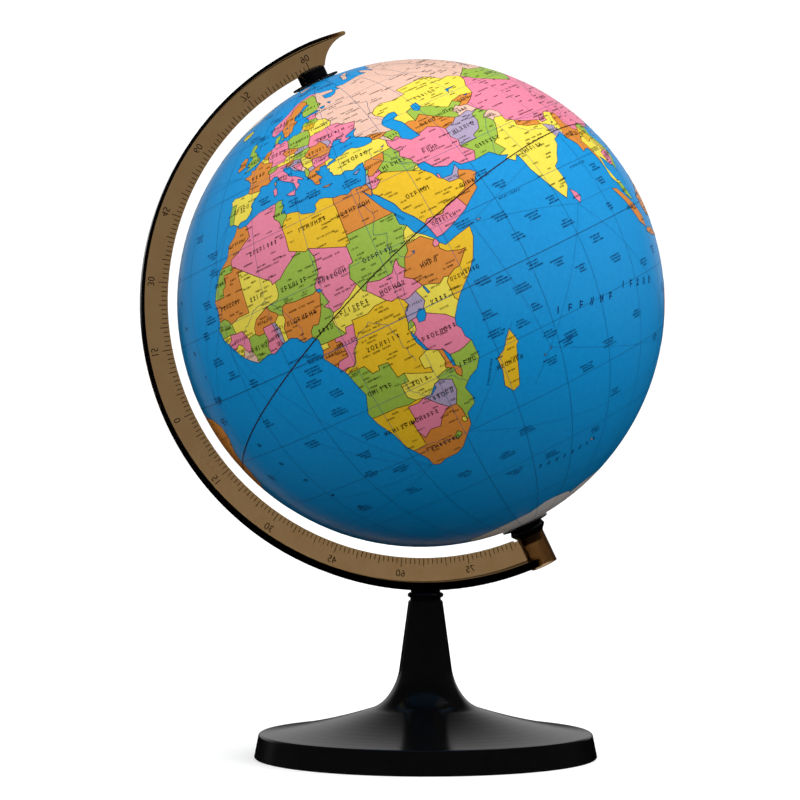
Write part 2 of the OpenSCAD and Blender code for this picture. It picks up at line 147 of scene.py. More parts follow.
    "australia": """
        114,-22 117,-20.7 121.5,-19 123.5,-16.9 126,-14 129.3,-15 130.8,-12.5 136.8,-12.1 135.6,-15 139.5,-17.6
        141,-16.5 141.7,-12.8 142.5,-10.8 143.6,-14.3 145.4,-15 146.3,-19 149.3,-21 153,-25.2 153.6,-28.6
        151.5,-33 150,-37.4 146.4,-39 143.5,-38.8 140.3,-37.9 138.3,-35.3 137.8,-32.8 135.8,-34.8 131.2,-31.5
        126,-32.3 123.6,-33.9 118,-35 115.1,-34.3 115.7,-31.6 113.5,-26.3""",
    "tasmania": "144.7,-40.8 148.3,-40.9 147,-43.6 145.5,-42.8",
    "north_new_zealand": "172.8,-34.5 174.8,-36.8 178.4,-37.7 177,-39.5 175.2,-41.6 173.8,-39.3 174.7,-37.6",
    "south_new_zealand": "172.7,-40.6 174.2,-41.7 172.8,-43.8 170.6,-45.8 168.5,-46.6 166.5,-45.9 170,-43.1",
    "fiji": "177.3,-18.1 178.7,-18.1 180,-16.5 178.6,-16.7",
    "hawaii": "-156,20.2 -154.9,19.5 -155.7,19",
    "new_world": """
        -168,65.6 -162,66.6 -166.5,68.3 -163,69.6 -156.5,71.3 -141,69.7 -135,69.3 -128,70.3 -115,68.1 -108,68
        -97.5,68.2 -94.5,71.9 -90.5,69 -85.5,69.7 -81.5,68.8 -86,66.2 -87.5,64.5 -92.5,62.5 -94.7,60 -93,58.6
        -92.3,57 -87.8,56.6 -82.3,55.1 -82,52.8 -79.7,51.4 -79,54.3 -76.6,56.8 -78.2,58.8 -78,62.4 -73.5,62.3
        -69.5,60.9 -67.5,58.3 -64.5,60.2 -61,56 -55.8,52.9 -60,50.2 -66.5,50.1 -70,47.2 -64.5,49 -65,46.8
        -61.2,45.4 -65.8,43.6 -66.5,45.1 -70.2,43.6 -70.1,41.7 -74,40.6 -76.1,37.2 -75.6,35.2 -78,33.9
        -81.2,31.7 -80.1,27 -80.6,25.2 -82.6,27.8 -84.1,30.1 -88.8,30.3 -89.5,29.2 -93.8,29.6 -97.3,27.7
        -97.7,22.5 -96,19.2 -94.5,18.2 -91.5,18.6 -90.4,21 -87,21.5 -88.2,18 -88.7,15.9 -83.3,15.1 -83.7,11.2
        -82.1,9.1 -79.6,9.6 -77,8.4 -75.5,10.7 -71.7,12.3 -71.5,10.9 -68.4,11.2 -62,10.7 -57.3,6 -52,4.8 -50,1
        -48.4,-0.8 -44.3,-2.6 -39.9,-2.9 -35.3,-5.4 -35,-8.5 -39,-13.2 -39.3,-18 -41,-22 -45,-23.5 -48.7,-26
        -48.9,-28.7 -52.5,-33.1 -54.9,-34.9 -58.3,-34.2 -57,-36.5 -58,-38.2 -62.2,-38.9 -65.1,-41 -65.3,-44.8
        -67.5,-46.2 -65.9,-47.9 -69,-50.9 -68.3,-52.4 -65.3,-54.7 -69.5,-55.5 -74.5,-52.5 -75.5,-48.5 -73,-42
        -73.5,-37.3 -71.5,-32.5 -70.4,-23.5 -70.3,-18.3 -76,-14.2 -79.7,-7.3 -81.2,-5.5 -80.3,-3.3 -80.9,-1
        -78.9,1.4 -77.4,4 -77.9,7.4 -79.6,8.8 -81,7.4 -83.7,8.6 -85.8,10.2 -87.6,12.9 -91.8,14 -94.5,16.2
        -99.8,16.8 -105.3,20 -105.6,22.6 -109.4,25.9 -112.6,29.8 -114.7,31.7 -112.5,28 -109.6,23 -112.2,25
        -115,28.2 -117.2,32.6 -120.6,34.6 -124.3,40.4 -124.2,46.5 -124.6,48.3 -122.8,48.8 -127.6,51.5
        -130.4,54.8 -135,58.3 -140,59.8 -146,60.8 -151.8,59.3 -157.5,56.5 -164.5,54.7 -158.2,58.4 -162,59.2
        -165.8,61.5 -161.2,64.2 -166.4,64.6""",
    "vancouver_island": "-128.2,50.8 -125.2,50.2 -123.5,48.4 -126,49.4",
    "newfoundland": "-55.9,51.6 -53,47.5 -55.5,46.9 -59.2,47.7",
    "baffin_land": """
        -61.5,66.6 -64.8,63 -71.5,64.5 -73.5,68.2 -78,70.2 -88.5,70.6 -89,73.3 -80.5,73.7 -72.5,71.5 -67.5,69.5""",
    "southampton_island": "-87,65.6 -83.5,66 -80.3,63.8 -87,63.6",
    "victoria_island": "-117,69.7 -113.5,68.5 -102,69 -105.5,73.3 -115,73.3",
    "banks_island": "-125.5,72.2 -119.5,71.5 -117.5,75.2 -124.5,74.3",
    "prince_of_wales_island": "-102.5,72.7 -96.5,71.8 -97,73.8 -102,73.1",
    "melville_island": "-117,75.5 -106,75 -106,76.3 -115.5,76.5",
    "devon_island": "-96,75 -80.5,74.7 -80,75.6 -92,76.6",
    "ellesmere_island": "-88,76.4 -79,76.3 -76,79 -62,82.5 -72,83.1 -92,81.2 -87.5,79",
    "greenland": """
        -73,78.2 -68.5,76 -58,75.6 -54.5,72.5 -54,69 -52,63.9 -48.5,61 -43.5,59.9 -40.5,64.5 -32.5,68.2 -22,70.2
        -19.5,75 -18,79.5 -24,82.3 -33,83.6 -46,82.5 -61,82.2 -66.5,80.5""",
    "cuba": "-84.8,21.9 -82.5,23.1 -77,21.3 -74.3,20.2 -77.6,19.9 -80.5,22.1",
    "hispaniola": "-74.2,18.4 -73,19.9 -68.5,18.6 -71.5,17.8",
    "jamaica": "-78.3,18.3 -76.3,18 -77.5,17.8",
    "puerto_rico": "-67.2,18.4 -65.7,18.3 -67.1,18",
    "falklands": "-61,-51.5 -57.9,-51.5 -59.3,-52.3",
    "reunion": "55.3,-20.9 55.8,-21 55.5,-21.4",
    "mauritius": "57.4,-20 57.8,-20.3 57.4,-20.5",
    "kerguelen": "68.9,-48.8 70.3,-49.3 69,-49.6",
}
# The ice sheet's edge runs right round the pole, so it is a line and not a loop.
ICE_EDGE = """
    -169,-78 -158,-77 -147,-76 -130,-74 -112,-74 -100,-72.5 -85,-73 -75,-73.2 -67.5,-69.5 -65.5,-65.8
    -57.5,-63.3 -61.5,-66.5 -61.5,-73 -60,-75.5 -45,-78 -30,-76.5 -18,-73 -10,-71 10,-70.2 30,-69.5 40,-69.3
    50,-66.8 57,-66.8 69,-68 73,-69.8 80,-67.8 90,-66.6 110,-66.2 130,-66.1 145,-67 160,-69.5 171,-71.8 165,-77
    178,-78.2 191,-78"""
LAKE_LOOPS = {
    "caspian": """
        49,46.4 47.5,45.5 46.8,44.5 47.6,42.9 49.4,40.5 48.9,38.3 51,36.8 53.9,36.9 53,39.9 52.5,42.6 50.9,44.6
        53,45.3 53,46.8 51,47""",
    "aral": "58.3,44.5 58.8,46.3 61.2,46.6 61.2,44.7 59.5,43.7",
    "victoria": "31.8,-0.9 33,0.4 34.1,-0.2 33.9,-1.4 33.1,-2.4 31.8,-2.3",
    "tanganyika": "29.3,-3.4 29.8,-4.6 31.1,-8.6 30.5,-8.4 29.4,-6 29.1,-4.2",
    "nyasa": "33.9,-9.5 34.9,-11.5 35,-14.1 34.5,-14.2 34.1,-11.8",
    "rudolf": "36.1,4.5 36.7,2.6 36.2,2.6 35.8,4.2",
    "chad": "13.5,13.7 14.5,13.6 14.9,12.9 13.9,12.9",
    "albert": "31.4,2.2 30.5,1 30.3,1.3",
    "tana": "37,12.3 37.6,12.2 37.3,11.6",
    "kariba": "27,-17.9 28.7,-16.4 28.9,-16.9 27.3,-18",
    "balkhash": "73.7,45.2 74.2,46.7 79,46.7 75,46.2",
    "baikal": "103.9,51.6 106.5,52.3 109.9,55.6 108.6,55.7 105,52.2",
    "ladoga": "30.5,61.2 32.8,61.1 32.5,60.3 31,60.2",
    "onega": "34.5,62.2 36.3,61.7 35.5,61",
    "vanern": "12.6,58.6 13.8,59.3 14,58.7",
    "van": "42.5,38.5 43.6,38.8 43,38.3",
    "issyk_kul": "76.3,42.5 78.3,42.6 77.3,42.2",
    "superior": "-92,46.8 -88.5,48.6 -84.8,47.5 -87.5,46.6",
    "michigan": "-87.6,41.8 -88,44.5 -85.2,45.8 -86.3,43",
    "huron": "-84.5,46 -80.5,45.7 -81.7,43.3 -83.6,43.8",
    "erie": "-83.3,41.8 -79,42.8 -81.5,41.7",
    "ontario": "-79.7,43.3 -76.5,44.2 -77,43.4",
    "great_bear": "-124,66.3 -118.5,66.8 -121,65.2",
    "great_slave": "-116.8,61.2 -112,62.7 -114,60.9",
    "winnipeg": "-98.5,53.8 -96.5,51 -97,50.7 -99,52.5",
    "titicaca": "-70,-15.5 -69,-16 -69.6,-16.4",
}

# Borders are open lines; they may run past a coast, where they aren't drawn.
BORDER_LINES = {
    "north_africa": """
        -2.2,35.3 -1.8,34.4 -1.2,32.1 -3.6,30.9 -5,30 -8.7,28.7 -8.7,27.3 / -13.4,27.7 -8.7,27.7 / -17.2,20.8
        -17,21.35 -13,21.3 -13,23 -12,23.4 -12,26 -8.7,26 -8.7,27.3 / -8.7,27.3 -4.8,25 / -4.8,25 1.2,21.1
        3.2,19.8 3.2,19 4.2,19.2 / 4.2,19.2 5.8,19.5 7.5,20.8 12,23.5 / 12,23.5 10,24.4 9.9,28 9.5,30.2 /
        9.5,30.2 9,32.1 7.6,33.4 8.4,35.9 8.6,37.3 / 9.5,30.2 10.3,31.7 11.5,32.4 11.5,33.5 / 12,23.5 14.2,22.6
        15,23 24,19.5 / 24,19.5 24,20 25,20 25,22 / 25,22 25,29.3 24.7,30.2 25.1,32.1 / 25,22 31.3,22 37.5,22 /
        34.1,31.5 34.9,29.2 / -4.8,25 -6.6,25 -5.5,15.5 -9.3,15.5 -12.2,14.8 / -12.2,14.8 -13.3,16 -14.5,16.6
        -17,16.2""",
    "sahel_and_guinea_coast": """
        -12.2,14.8 -11.5,12.4 / -11.5,12.4 -13.7,12.7 -17.2,12.4 / -13.7,12.7 -13.7,11.7 -15.4,10.6 / -11.5,12.4
        -9.3,12.4 -8,10.2 / -8,10.2 -6.2,10.6 -5.5,10.4 / -8,10.2 -7.9,9 -8.4,7.6 / -8.4,7.6 -7.5,5.8 -7.5,4 /
        -8.4,7.6 -9.4,7.5 -10.3,8.5 / -10.3,8.5 -11.7,6.4 / -10.3,8.5 -10.7,9.4 -11.8,10 -13.6,8.7 / -5.5,10.4
        -5.3,11.8 -4,13.4 -2,14.2 0.2,15 / 0.2,15 0.4,14 2.1,12.7 2.4,12.2 / 0.2,15 3.5,15.4 4.2,16.5 4.2,19.2 /
        3.6,11.7 2.4,12.2 / 2.4,12.2 1.4,11.4 0.9,11 / 0.9,11 -0.1,11.1 -2.8,11 -2.8,9.8 / -2.8,9.8 -2.5,8.2
        -3.2,6.7 -3.1,4.7 / -2.8,9.8 -4.7,9.8 -5.5,10.4 / 1.2,5.7 0.6,7 0.3,10 -0.1,11.1 / 1.6,5.8 1.6,9 0.9,11
        / 2.7,6 2.7,9 3.8,10.6 3.6,11.7 / 3.6,11.7 4.1,13.5 5.2,13.8 7.8,13.3 10.2,13.3 12.5,13.1 13.7,13.5 /
        13.7,13.5 13.6,14.5 15.5,16.9 15.9,20.4 15,23 / 14.1,13.1 14.2,12.5 13.6,11 13.2,9.6 12.2,7.9 11.2,6.6
        9.8,6.8 8.8,5.8 8.6,4.4 / 15.5,7.5 15.2,8.5 13.9,9.6 15.5,10 15,11.5 14.5,13.1""",
    "nile_and_horn": """
        24,19.5 24,15.7 22.9,15.5 22,12.7 22.9,11 / 22.9,11 23.6,9 24.2,8.7 / 24.2,8.7 25.2,10.3 27.9,9.6 31,9.8
        32.5,11.8 33.2,12.2 33.1,10.7 34,9.5 / 34,9.5 35,11.8 36.2,12.7 36.6,14.3 / 36.6,14.3 36.5,15.2
        37.4,17.2 38.9,18.2 / 36.6,14.3 37.6,14.2 40.2,14.5 42.4,12.5 / 42.4,12.5 43.5,12.8 / 42.4,12.5
        41.8,11.6 42,10.95 42.9,11 / 42.9,11 43.6,11.7 / 42.9,11 42.8,10.3 44,9 46.9,8 48,8 45,5 43.7,4.9 41.9,4
        / 41.9,4 41,3 41,-0.8 41.9,-2.1 / 41.9,4 40.8,4.3 39.5,3.4 36.9,4.4 35.9,4.6 / 35.9,4.6 34.7,6.7 33,7.9
        34,9.5 / 35.9,4.6 34,4.2 32.2,3.5 30.9,3.5 / 34,4.2 34.9,1.4 34,0.2 33.9,-1 / 30.9,3.5 31.3,2.2 29.9,0.8
        29.6,-1.4 30.5,-1.1 31.9,-1 33.9,-1 / 33.9,-1 37.6,-3.1 39.4,-4.9 / 30.5,-1.1 30.8,-2.3 29,-2.8 /
        30.8,-2.3 30.5,-3.5 29.3,-4.5 / 29.6,-1.4 29,-2.8 29.4,-3.6""",
    "congo_and_angola": """
        27.4,5 28.4,4.3 29.7,4.5 30.9,3.5 / 24.2,8.7 25.3,7.5 27.4,5 / 27.4,5 24.5,5 22.5,4.1 18.6,4.3 18.6,3.5
        / 22.9,11 20,9.1 18.9,8.8 17.5,7.9 15.5,7.5 / 15.5,7.5 14.6,6.2 14.6,4.8 16.2,2.2 / 16.2,2.2 16.6,3.5
        18.6,3.5 / 18.6,3.5 17.9,1 17.8,-0.5 16.2,-1.7 15.3,-4.2 14.4,-4.9 13,-4.7 12,-5.3 / 16.2,2.2 13.3,2.2
        11.3,2.2 9.5,2.3 / 11.3,2.2 11.3,1 9.3,1 / 13.3,2.2 13.2,1.3 14.2,1.3 14.4,-0.5 14.4,-2.4 11.8,-2.7
        11,-4.1 / 12,-6.1 13.2,-5.9 16.6,-5.9 17.6,-8.1 19.4,-8 19.5,-7.1 21.8,-7.3 22.2,-11.2 23.9,-10.9 /
        23.9,-10.9 25.4,-11.7 28,-12.8 29.8,-13.4 29.8,-12.2 28.4,-11.9 28.4,-9.3 30.6,-8.4 / 30.8,-8.4
        32.9,-9.4 34,-9.8""",
    "southern_africa": """
        11.6,-17.3 14,-17.4 18.5,-17.4 21.4,-17.9 23.4,-17.6 / 23.9,-10.9 24,-13 22,-13 22,-16.2 23.4,-17.6 /
        23.4,-17.6 25.3,-17.8 / 25.3,-17.8 23.6,-18.4 21,-18.3 21,-22 20,-22 20,-24.8 / 20,-24.8 20,-28.4
        17.4,-28.7 16.2,-28.6 / 20,-24.8 20.8,-26.8 23,-25.4 25.5,-25.7 27,-23.7 29.4,-22.2 / 29.4,-22.2
        27.7,-20.6 25.3,-17.8 / 25.3,-17.8 27.2,-17.9 / 28.7,-16.6 28.9,-16 30.4,-15.6 / 30.4,-15.6 30.2,-14.8
        33.2,-14 / 33.2,-14 32.7,-13.6 33.3,-12.3 32.9,-9.4 / 34.6,-14.1 35.8,-14.8 35.8,-16 35.2,-17.1 34.4,-16
        34.4,-14.6 33.2,-14 / 34.7,-11.5 37,-11.6 38.5,-11.3 40.7,-10.4 / 30.4,-15.6 32.9,-16.7 32.8,-19.5
        31.3,-22.4 / 29.4,-22.2 31.3,-22.4 / 31.3,-22.4 32,-24.2 32.1,-26.8 33.2,-26.85 / 30.8,-26.5 31.3,-25.8
        32,-26.2 32,-27.2 31.2,-27.3 30.8,-26.5 / 27.1,-29.6 28.6,-28.6 29.4,-29.4 28.8,-30.1 27.7,-30.6
        27.1,-29.6""",
    "west_europe": """
        -9.1,41.9 -6.6,41.9 -6.9,41 -7,39.7 -7.4,36.8 / -1.9,43.6 -0.7,42.9 0.7,42.8 3.5,42.4 / 7.6,43.5
        6.9,44.4 7,45.9 / 7,45.9 6.2,46.3 7.6,47.6 / 7.6,47.6 8.2,49 6.4,49.5 / 6.4,49.5 4.2,50 2.3,51.4 /
        6.4,49.5 5.9,51 / 5.9,51 3.1,51.7 / 5.9,51 6.8,52.2 7.2,53.8 / 7,45.9 9,46 10.4,46.7 / 7.6,47.6 9.6,47.5
        10.4,46.7 / 9.6,47.5 12.9,47.6 13.8,48.7 / 10.4,46.7 13.7,46.5 / 13.7,46.5 13.7,45.3 / 13.7,46.5
        16.1,46.8 / 13.8,48.7 16.9,48.6 / 16.9,48.6 17.1,48 16.1,46.8 / 13.8,48.7 12.2,50.2 14.8,50.9 /
        14.8,50.9 14.3,54.2 / 14.8,50.9 18.8,49.5 / 18.8,49.5 16.9,48.6 / 18.8,49.5 22.5,49.1 / 17.1,48 20,48.2
        22.1,48.4 / 22.1,48.4 22.5,49.1 / 8,54.9 10.3,54.8""",
    "east_europe": """
        22.5,49.1 23.6,51.5 / 23.6,51.5 23.5,53.9 22.8,54.4 / 22.8,54.4 19,54.7 / 22.8,54.4 20.6,55.4 /
        20.6,56.1 25,56.3 26.6,55.7 / 26.6,55.7 25.6,54.3 23.5,53.9 / 24,57.9 27.4,57.5 / 27.4,57.5 28.2,56.2
        26.6,55.7 / 27.4,57.5 28.1,59.8 / 28.2,56.2 30.9,55.6 32.5,53.5 31.8,52.1 / 31.8,52.1 27,51.6 23.6,51.5
        / 31.8,52.1 34.4,51.8 36,50.4 40.1,49.6 38.2,46.8 / 22.1,48.4 22.9,48 / 22.9,48 24.8,47.8 26.6,48.3 /
        26.6,48.3 29.2,47.9 29.9,46.5 28.2,45.5 / 26.6,48.3 28.2,46.5 28.2,45.5 / 28.2,45.5 29.9,45.2 / 22.9,48
        20.3,46.1 / 20.3,46.1 18.8,45.9 16.6,46.4 16.1,46.8 / 16.6,46.4 15.3,45.5 13.4,45.5 / 20.3,46.1
        21.5,44.8 22.7,44.2 / 22.7,44.2 25.5,43.6 28.7,43.8 / 18.8,45.9 19,44.9 15.8,44.9 16.5,44 18.3,42.4 /
        19,44.9 19.2,43.5 18.3,42.4 / 19.2,43.5 20.1,42.5 19.2,41.8 / 20.1,42.5 20.6,41.9 21,40.9 20,39.6 /
        20.6,41.9 22.4,42.3 22.9,41.3 21,40.9 / 22.7,44.2 22.5,43.3 22.4,42.3 / 22.9,41.3 26.3,41.7 / 26.3,41.7
        26,40.6 / 26.3,41.7 28.3,42""",
    "north_europe": """
        10.9,58.8 11.8,59.9 12.5,61.5 12.2,63 14,64.3 15.5,66.3 20,69 / 20,69 23.7,67.5 24.1,65.6 / 20,69
        25.8,69.6 28,70 28.9,69.1 / 28.9,69.1 29.9,67.5 29.6,64.8 31.5,62.8 27.8,60.3 / 28.9,69.1 31,70.5""",
    "middle_east": """
        39.6,43.4 42,43.3 44.5,42.6 46.5,41.9 49,41.7 / 41.3,41.5 43.5,41.1 / 43.5,41.1 45,41.3 46.5,41.9 /
        43.5,41.1 44.8,39.7 / 45,41.3 46.5,38.9 / 44.8,39.7 46.5,38.9 / 46.5,38.9 48,39.6 49.1,38.4 / 44.8,39.7
        44.4,38 44.8,37.2 / 44.8,37.2 42.4,37.1 38,36.8 36.7,36.8 36.2,35.9 35.6,36 / 42.4,37.1 41.2,34.8
        38.8,33.4 / 38.8,33.4 36.8,32.3 35.7,32.7 / 35.7,34.7 36.4,34.2 35.8,33.3 34.9,33.1 / 35.8,33.3
        35.7,32.7 / 35.7,32.7 35.5,31.5 35,29.2 / 38.8,33.4 39.2,32.1 / 39.2,32.1 37,31.5 38,30.5 36.1,29.2
        34.7,29.2 / 39.2,32.1 42,31.1 46.5,29.1 / 46.5,29.1 47.7,30.1 48.3,30 / 46.5,29.1 47.5,28.5 48.7,28.5 /
        44.8,37.2 46.1,35.1 45.5,34 47.7,31.8 47.7,31 48.9,29.8 / 42.2,16.4 43.4,17.4 47,17 48.8,18.3 52,19 /
        52,19 53.2,15.6 / 52,19 55,20 55.7,22 55.2,22.7 / 55.2,22.7 52.6,22.9 51.5,24.6 / 55.2,22.7 55.8,24.2
        56.7,25 / 50.7,25.1 50.8,24.9 51.4,24.4""",
    "south_asia": """
        61.6,24.9 63.2,27.2 60.9,29.8 / 60.9,29.8 61.7,31.4 60.6,33 61.2,35.6 / 61.2,35.6 60,37 57.3,38.2
        53.6,37.3 / 60.9,29.8 66.3,29.9 66.4,31 69.3,31.9 71.1,34.1 71.5,36.3 74.7,37.2 / 61.2,35.6 64.5,36.3
        66.5,37.4 67.8,37.2 / 67.8,37.2 71.4,37.9 72.5,37 74.7,37.2 / 68,23.6 71,24.4 69.6,27 72,28 74.5,31
        75.3,32.3 / 75.3,32.3 73.8,34.5 76.9,35.6 78,35.5 79.5,34 79,32.5 76.5,33 75.3,32.3 / 74.7,37.2 76,36
        76.9,35.6 / 79,32.5 78.7,31.3 81,30.2 / 81,30.2 84,28.8 88.1,27.9 / 81,30.2 80.2,28.8 83,27.4 88.1,26.4
        88.1,27.9 / 88.1,27.9 89,27.4 90,28.2 92,27.8 92,26.8 89,26.8 89,27.4 / 92,27.8 94.5,29.2 97.3,28.3 /
        97.3,28.3 95.2,26.6 94.2,24 92.6,22 / 92.6,22 92.1,20.6 / 92.6,22 92.3,24 91.3,23.5 92.2,24.8 88.4,26.4
        88.9,21.4""",
    "southeast_asia": """
        97.3,28.3 98.7,27.5 97.6,24.5 99,22 101.2,21.5 / 101.2,21.5 100.1,20.4 97.5,18.5 98.6,16 99.2,13.5
        98.6,10 / 100.1,20.4 101,17.6 104,18.2 105.5,14.5 / 105.5,14.5 103,14.2 102.8,11 / 105.5,14.5 107.5,14.5
        / 107.5,14.5 107.4,12.3 106,11.2 104.2,10.3 / 107.5,14.5 103.9,19.8 102.2,22.4 / 102.2,22.4 101.2,21.5 /
        102.2,22.4 105.3,23.3 108.2,21.4 / 99.5,6.4 101.8,5.8 102.5,6.3 / 109.2,2 112,1.3 115,4 118.6,4.2 /
        141,-2.3 141,-9.5""",
    "inner_asia": """
        49.3,46.2 47,48.2 46.8,49.5 48.5,50.6 51.5,51.5 55.5,50.7 61.5,51 61,53.8 71,54.2 76.5,54.2 80,50.8
        83.5,51 87.3,49.1 / 87.3,49.1 85.5,47.1 82.5,45.4 80.2,42.2 / 80.2,42.2 75.8,43 71,42.3 / 71,42.3 68,41
        66,42 64,43.6 58.5,45.6 56,45 56,41.3 / 56,41.3 54.5,42 52.2,41.8 / 56,41.3 58.5,42.7 62,40 66.5,37.4 /
        67.8,37.2 68.3,38.5 67.5,39.4 70.5,40.7 70.8,40 / 71,42.3 73,40.8 70.8,40 / 70.8,40 73.7,39.5 /
        73.7,39.5 74.7,37.2 / 73.7,39.5 76.5,40.5 80.2,42.2 / 87.3,49.1 91,46 95.5,44.2 101,42.5 105,41.6
        111,43.5 119.8,47 116.7,49.9 / 87.3,49.1 98.5,52 98.5,50.5 107.5,49.6 116.7,49.9 / 116.7,49.9 120,53.3
        125.5,53 127.5,50 131,47.7 134.8,48.4 133.2,45.1 130.6,42.4 130.8,42 / 130.6,42.4 128,42 123.9,39.8 /
        125.8,37.5 128.9,38.6""",
    "north_america": """
        -123.3,49 -95,49 -88,48.2 / -85.2,47.5 -84.4,46.5 -83.8,45.6 / -82.5,43.7 -82.5,43 -82.7,41.85 /
        -79,42.8 -79.2,43.4 / -76.5,44.2 -75,45 -70.8,45.3 -66.6,45 / -141,70 -141,60.2 -135,59.5 -130.8,54.6 /
        -117.4,32.6 -106.5,31.8 -101.5,29.8 -97,25.8 / -92.4,14 -91,17.8 -88.1,17.9 / -89.1,17.9 -89.2,15.9
        -88.5,15.7 / -88.5,16.1 -89.5,14.2 -89.8,13.2 / -83,15.2 -87.8,12.8 / -83.4,10.9 -86.6,11.1 / -82,9.6
        -82.9,8.1 / -77.1,8.8 -78.1,7.3 / -71.9,19.9 -71.7,17.8""",
    "south_america": """
        -71.4,12.5 -72.5,8 -67.5,6.2 -67,1.2 / -67,1.2 -64,4 -60,5 / -60,8.8 -60,5 / -60,5 -59.8,2.3 -54.5,2.3
        -51.4,4.5 / -57.2,6.2 -58,1.8 / -54,6.1 -54.5,2.3 / -67,1.2 -70,0.5 -70,-4.2 / -79.2,1.6 -75.3,-0.1
        -70,-4.2 / -75.3,-0.1 -78.5,-4.5 -80.7,-3.3 / -70,-4.2 -73.5,-7 -70.5,-11 -69.5,-11 / -69.5,-11
        -69.2,-17.5 -70.6,-18.4 / -69.5,-11 -65.3,-10 -60,-14 -58,-20 / -69.2,-17.5 -67.5,-22.9 / -67.5,-22.9
        -62.5,-22.2 -61.8,-19.6 -58,-20 / -58,-20 -54.5,-25.6 / -62.5,-22.2 -57.7,-25.3 -58.5,-27.3 -54.5,-25.6
        / -54.5,-25.6 -57.6,-30.2 / -57.6,-30.2 -53.2,-33.8 / -57.6,-30.2 -58.3,-34.2 / -67.5,-22.9 -70,-30
        -71.5,-40 -72,-50 -68.5,-52.5 -68.6,-55.7""",
}

# One place inside each country or island, by the ink that fills it; a name mark is set there.
COUNTRY_PLACES = {
    "pink": """
        3,28 18.5,15 42.6,11.6 30,7 -1.2,8 -10.5,10.8 15.5,0.5 35,-6 23.5,-22 36.5,31 47,15.8 51.2,25.3 54,32.5
        90.5,27.4 80.7,7.5 105,12.8 105,33 10,51 12.5,43 17.8,44.2 25,42.7 31,49 26,58.8 9,61 14,37.5 9,40.2
        136.5,35.1 143,43.3 130.7,32.8 133.4,33.6 134,-25 -100,58 -73.5,4 -70.1,-28 -56,-32.7 -85.2,12.9
        -70.5,18.8 -70,68 -110,71 -84,80 -56,48.7 -90,75.5 -112,75.7 -99.5,72.9 -121,73 -84,64.8 -126.2,49.7""",
    "gold": """
        18,28 45.5,3.2 23,-3 17,-22 47,-19 45,24 24,55.2 102.8,20.3 120.8,15.5 123.5,10.9 124.8,7.7 118.6,9.7""",
    "lemon": """
        -2,18 38.5,15.5 38,0.5 20.5,6.7 2.3,9.5 -11.8,8.5 -14.7,12 10.5,1.6 29.9,-3.4 26.5,-14 31.5,-26.7
        47.6,29.5 35,39 27.3,41.3 78,22 101,15.5 67,48 127,40.2 4.8,50.5 -4,40 14.5,47.5 21,43.8 28,53.5 -19,65
        -100,40 -155,65 -65,-36 -66,7.5 -78.3,-1.2 -90,15.2 174.8,-38.7""",
    "orange": """
        29,27 -6,32 -11,19 39.5,8.5 8,9.5 -1.5,12.3 11.8,-0.6 33.6,-13 24,-30 57,21 38.5,35 43.5,42.1 84,28.2
        96,21 127.8,36.5 59,39.5 75,41.5 5.6,52.3 2.5,47 9.1,42.3 15.5,49.8 14.8,46 25,46 22,39.5 -8,53 15,62
        -52,-10 110,-7.2 101,0 114,-2 120,-2.8 127.9,0.8 129.5,-3.4 119,-8.6 125.5,-9 137,-4.5 24.9,35.1""",
    "green": """
        9.5,34 -13.5,24.5 30,15 9,17 12.5,5 -5.5,7.5 -14.8,14.5 30,-2 38,-14.5 17.5,-12 28.2,-29.5 35.8,33.9
        43.5,33 47.5,40.3 68.5,28 108,13.5 102,4 103,46.5 65,40 8.2,46.8 19.5,52 19.2,47 20,41.2 25,57 26,63
        9.2,56 11.8,55.6 -1.5,52.5 -8,39.5 -102,25 -58,-23.5 -75,-10 -84,10 144,-7 150.2,-5.5 158.4,-8.3
        -79,21.6""",
    "lavender": """
        32.5,1.8 1,8.3 29.8,-19 35,31.3 54,23.6 66,34 90,24 19.5,48.8 16.4,45.6 21.7,41.6 28.6,47.2 33.2,35.1
        121,23.7 109.6,19.2 -64,-17 -58.5,4 -87,14.7 170.5,-43.5 147,-42 165.5,-21.5 -77.3,18""",
    "peach": """
        100,62 21.3,54.8 142.8,50 59,74 99,79.8 145,75.4 -56,4 -9.3,6.5 75.5,34 -72.7,19.2 19.3,42.6 -53.3,3.8
        -88.6,17.2 44.8,40.4 70.5,38.7 -81,8.4 16,79""",
    "ice": "-42,72 60,-80",
}
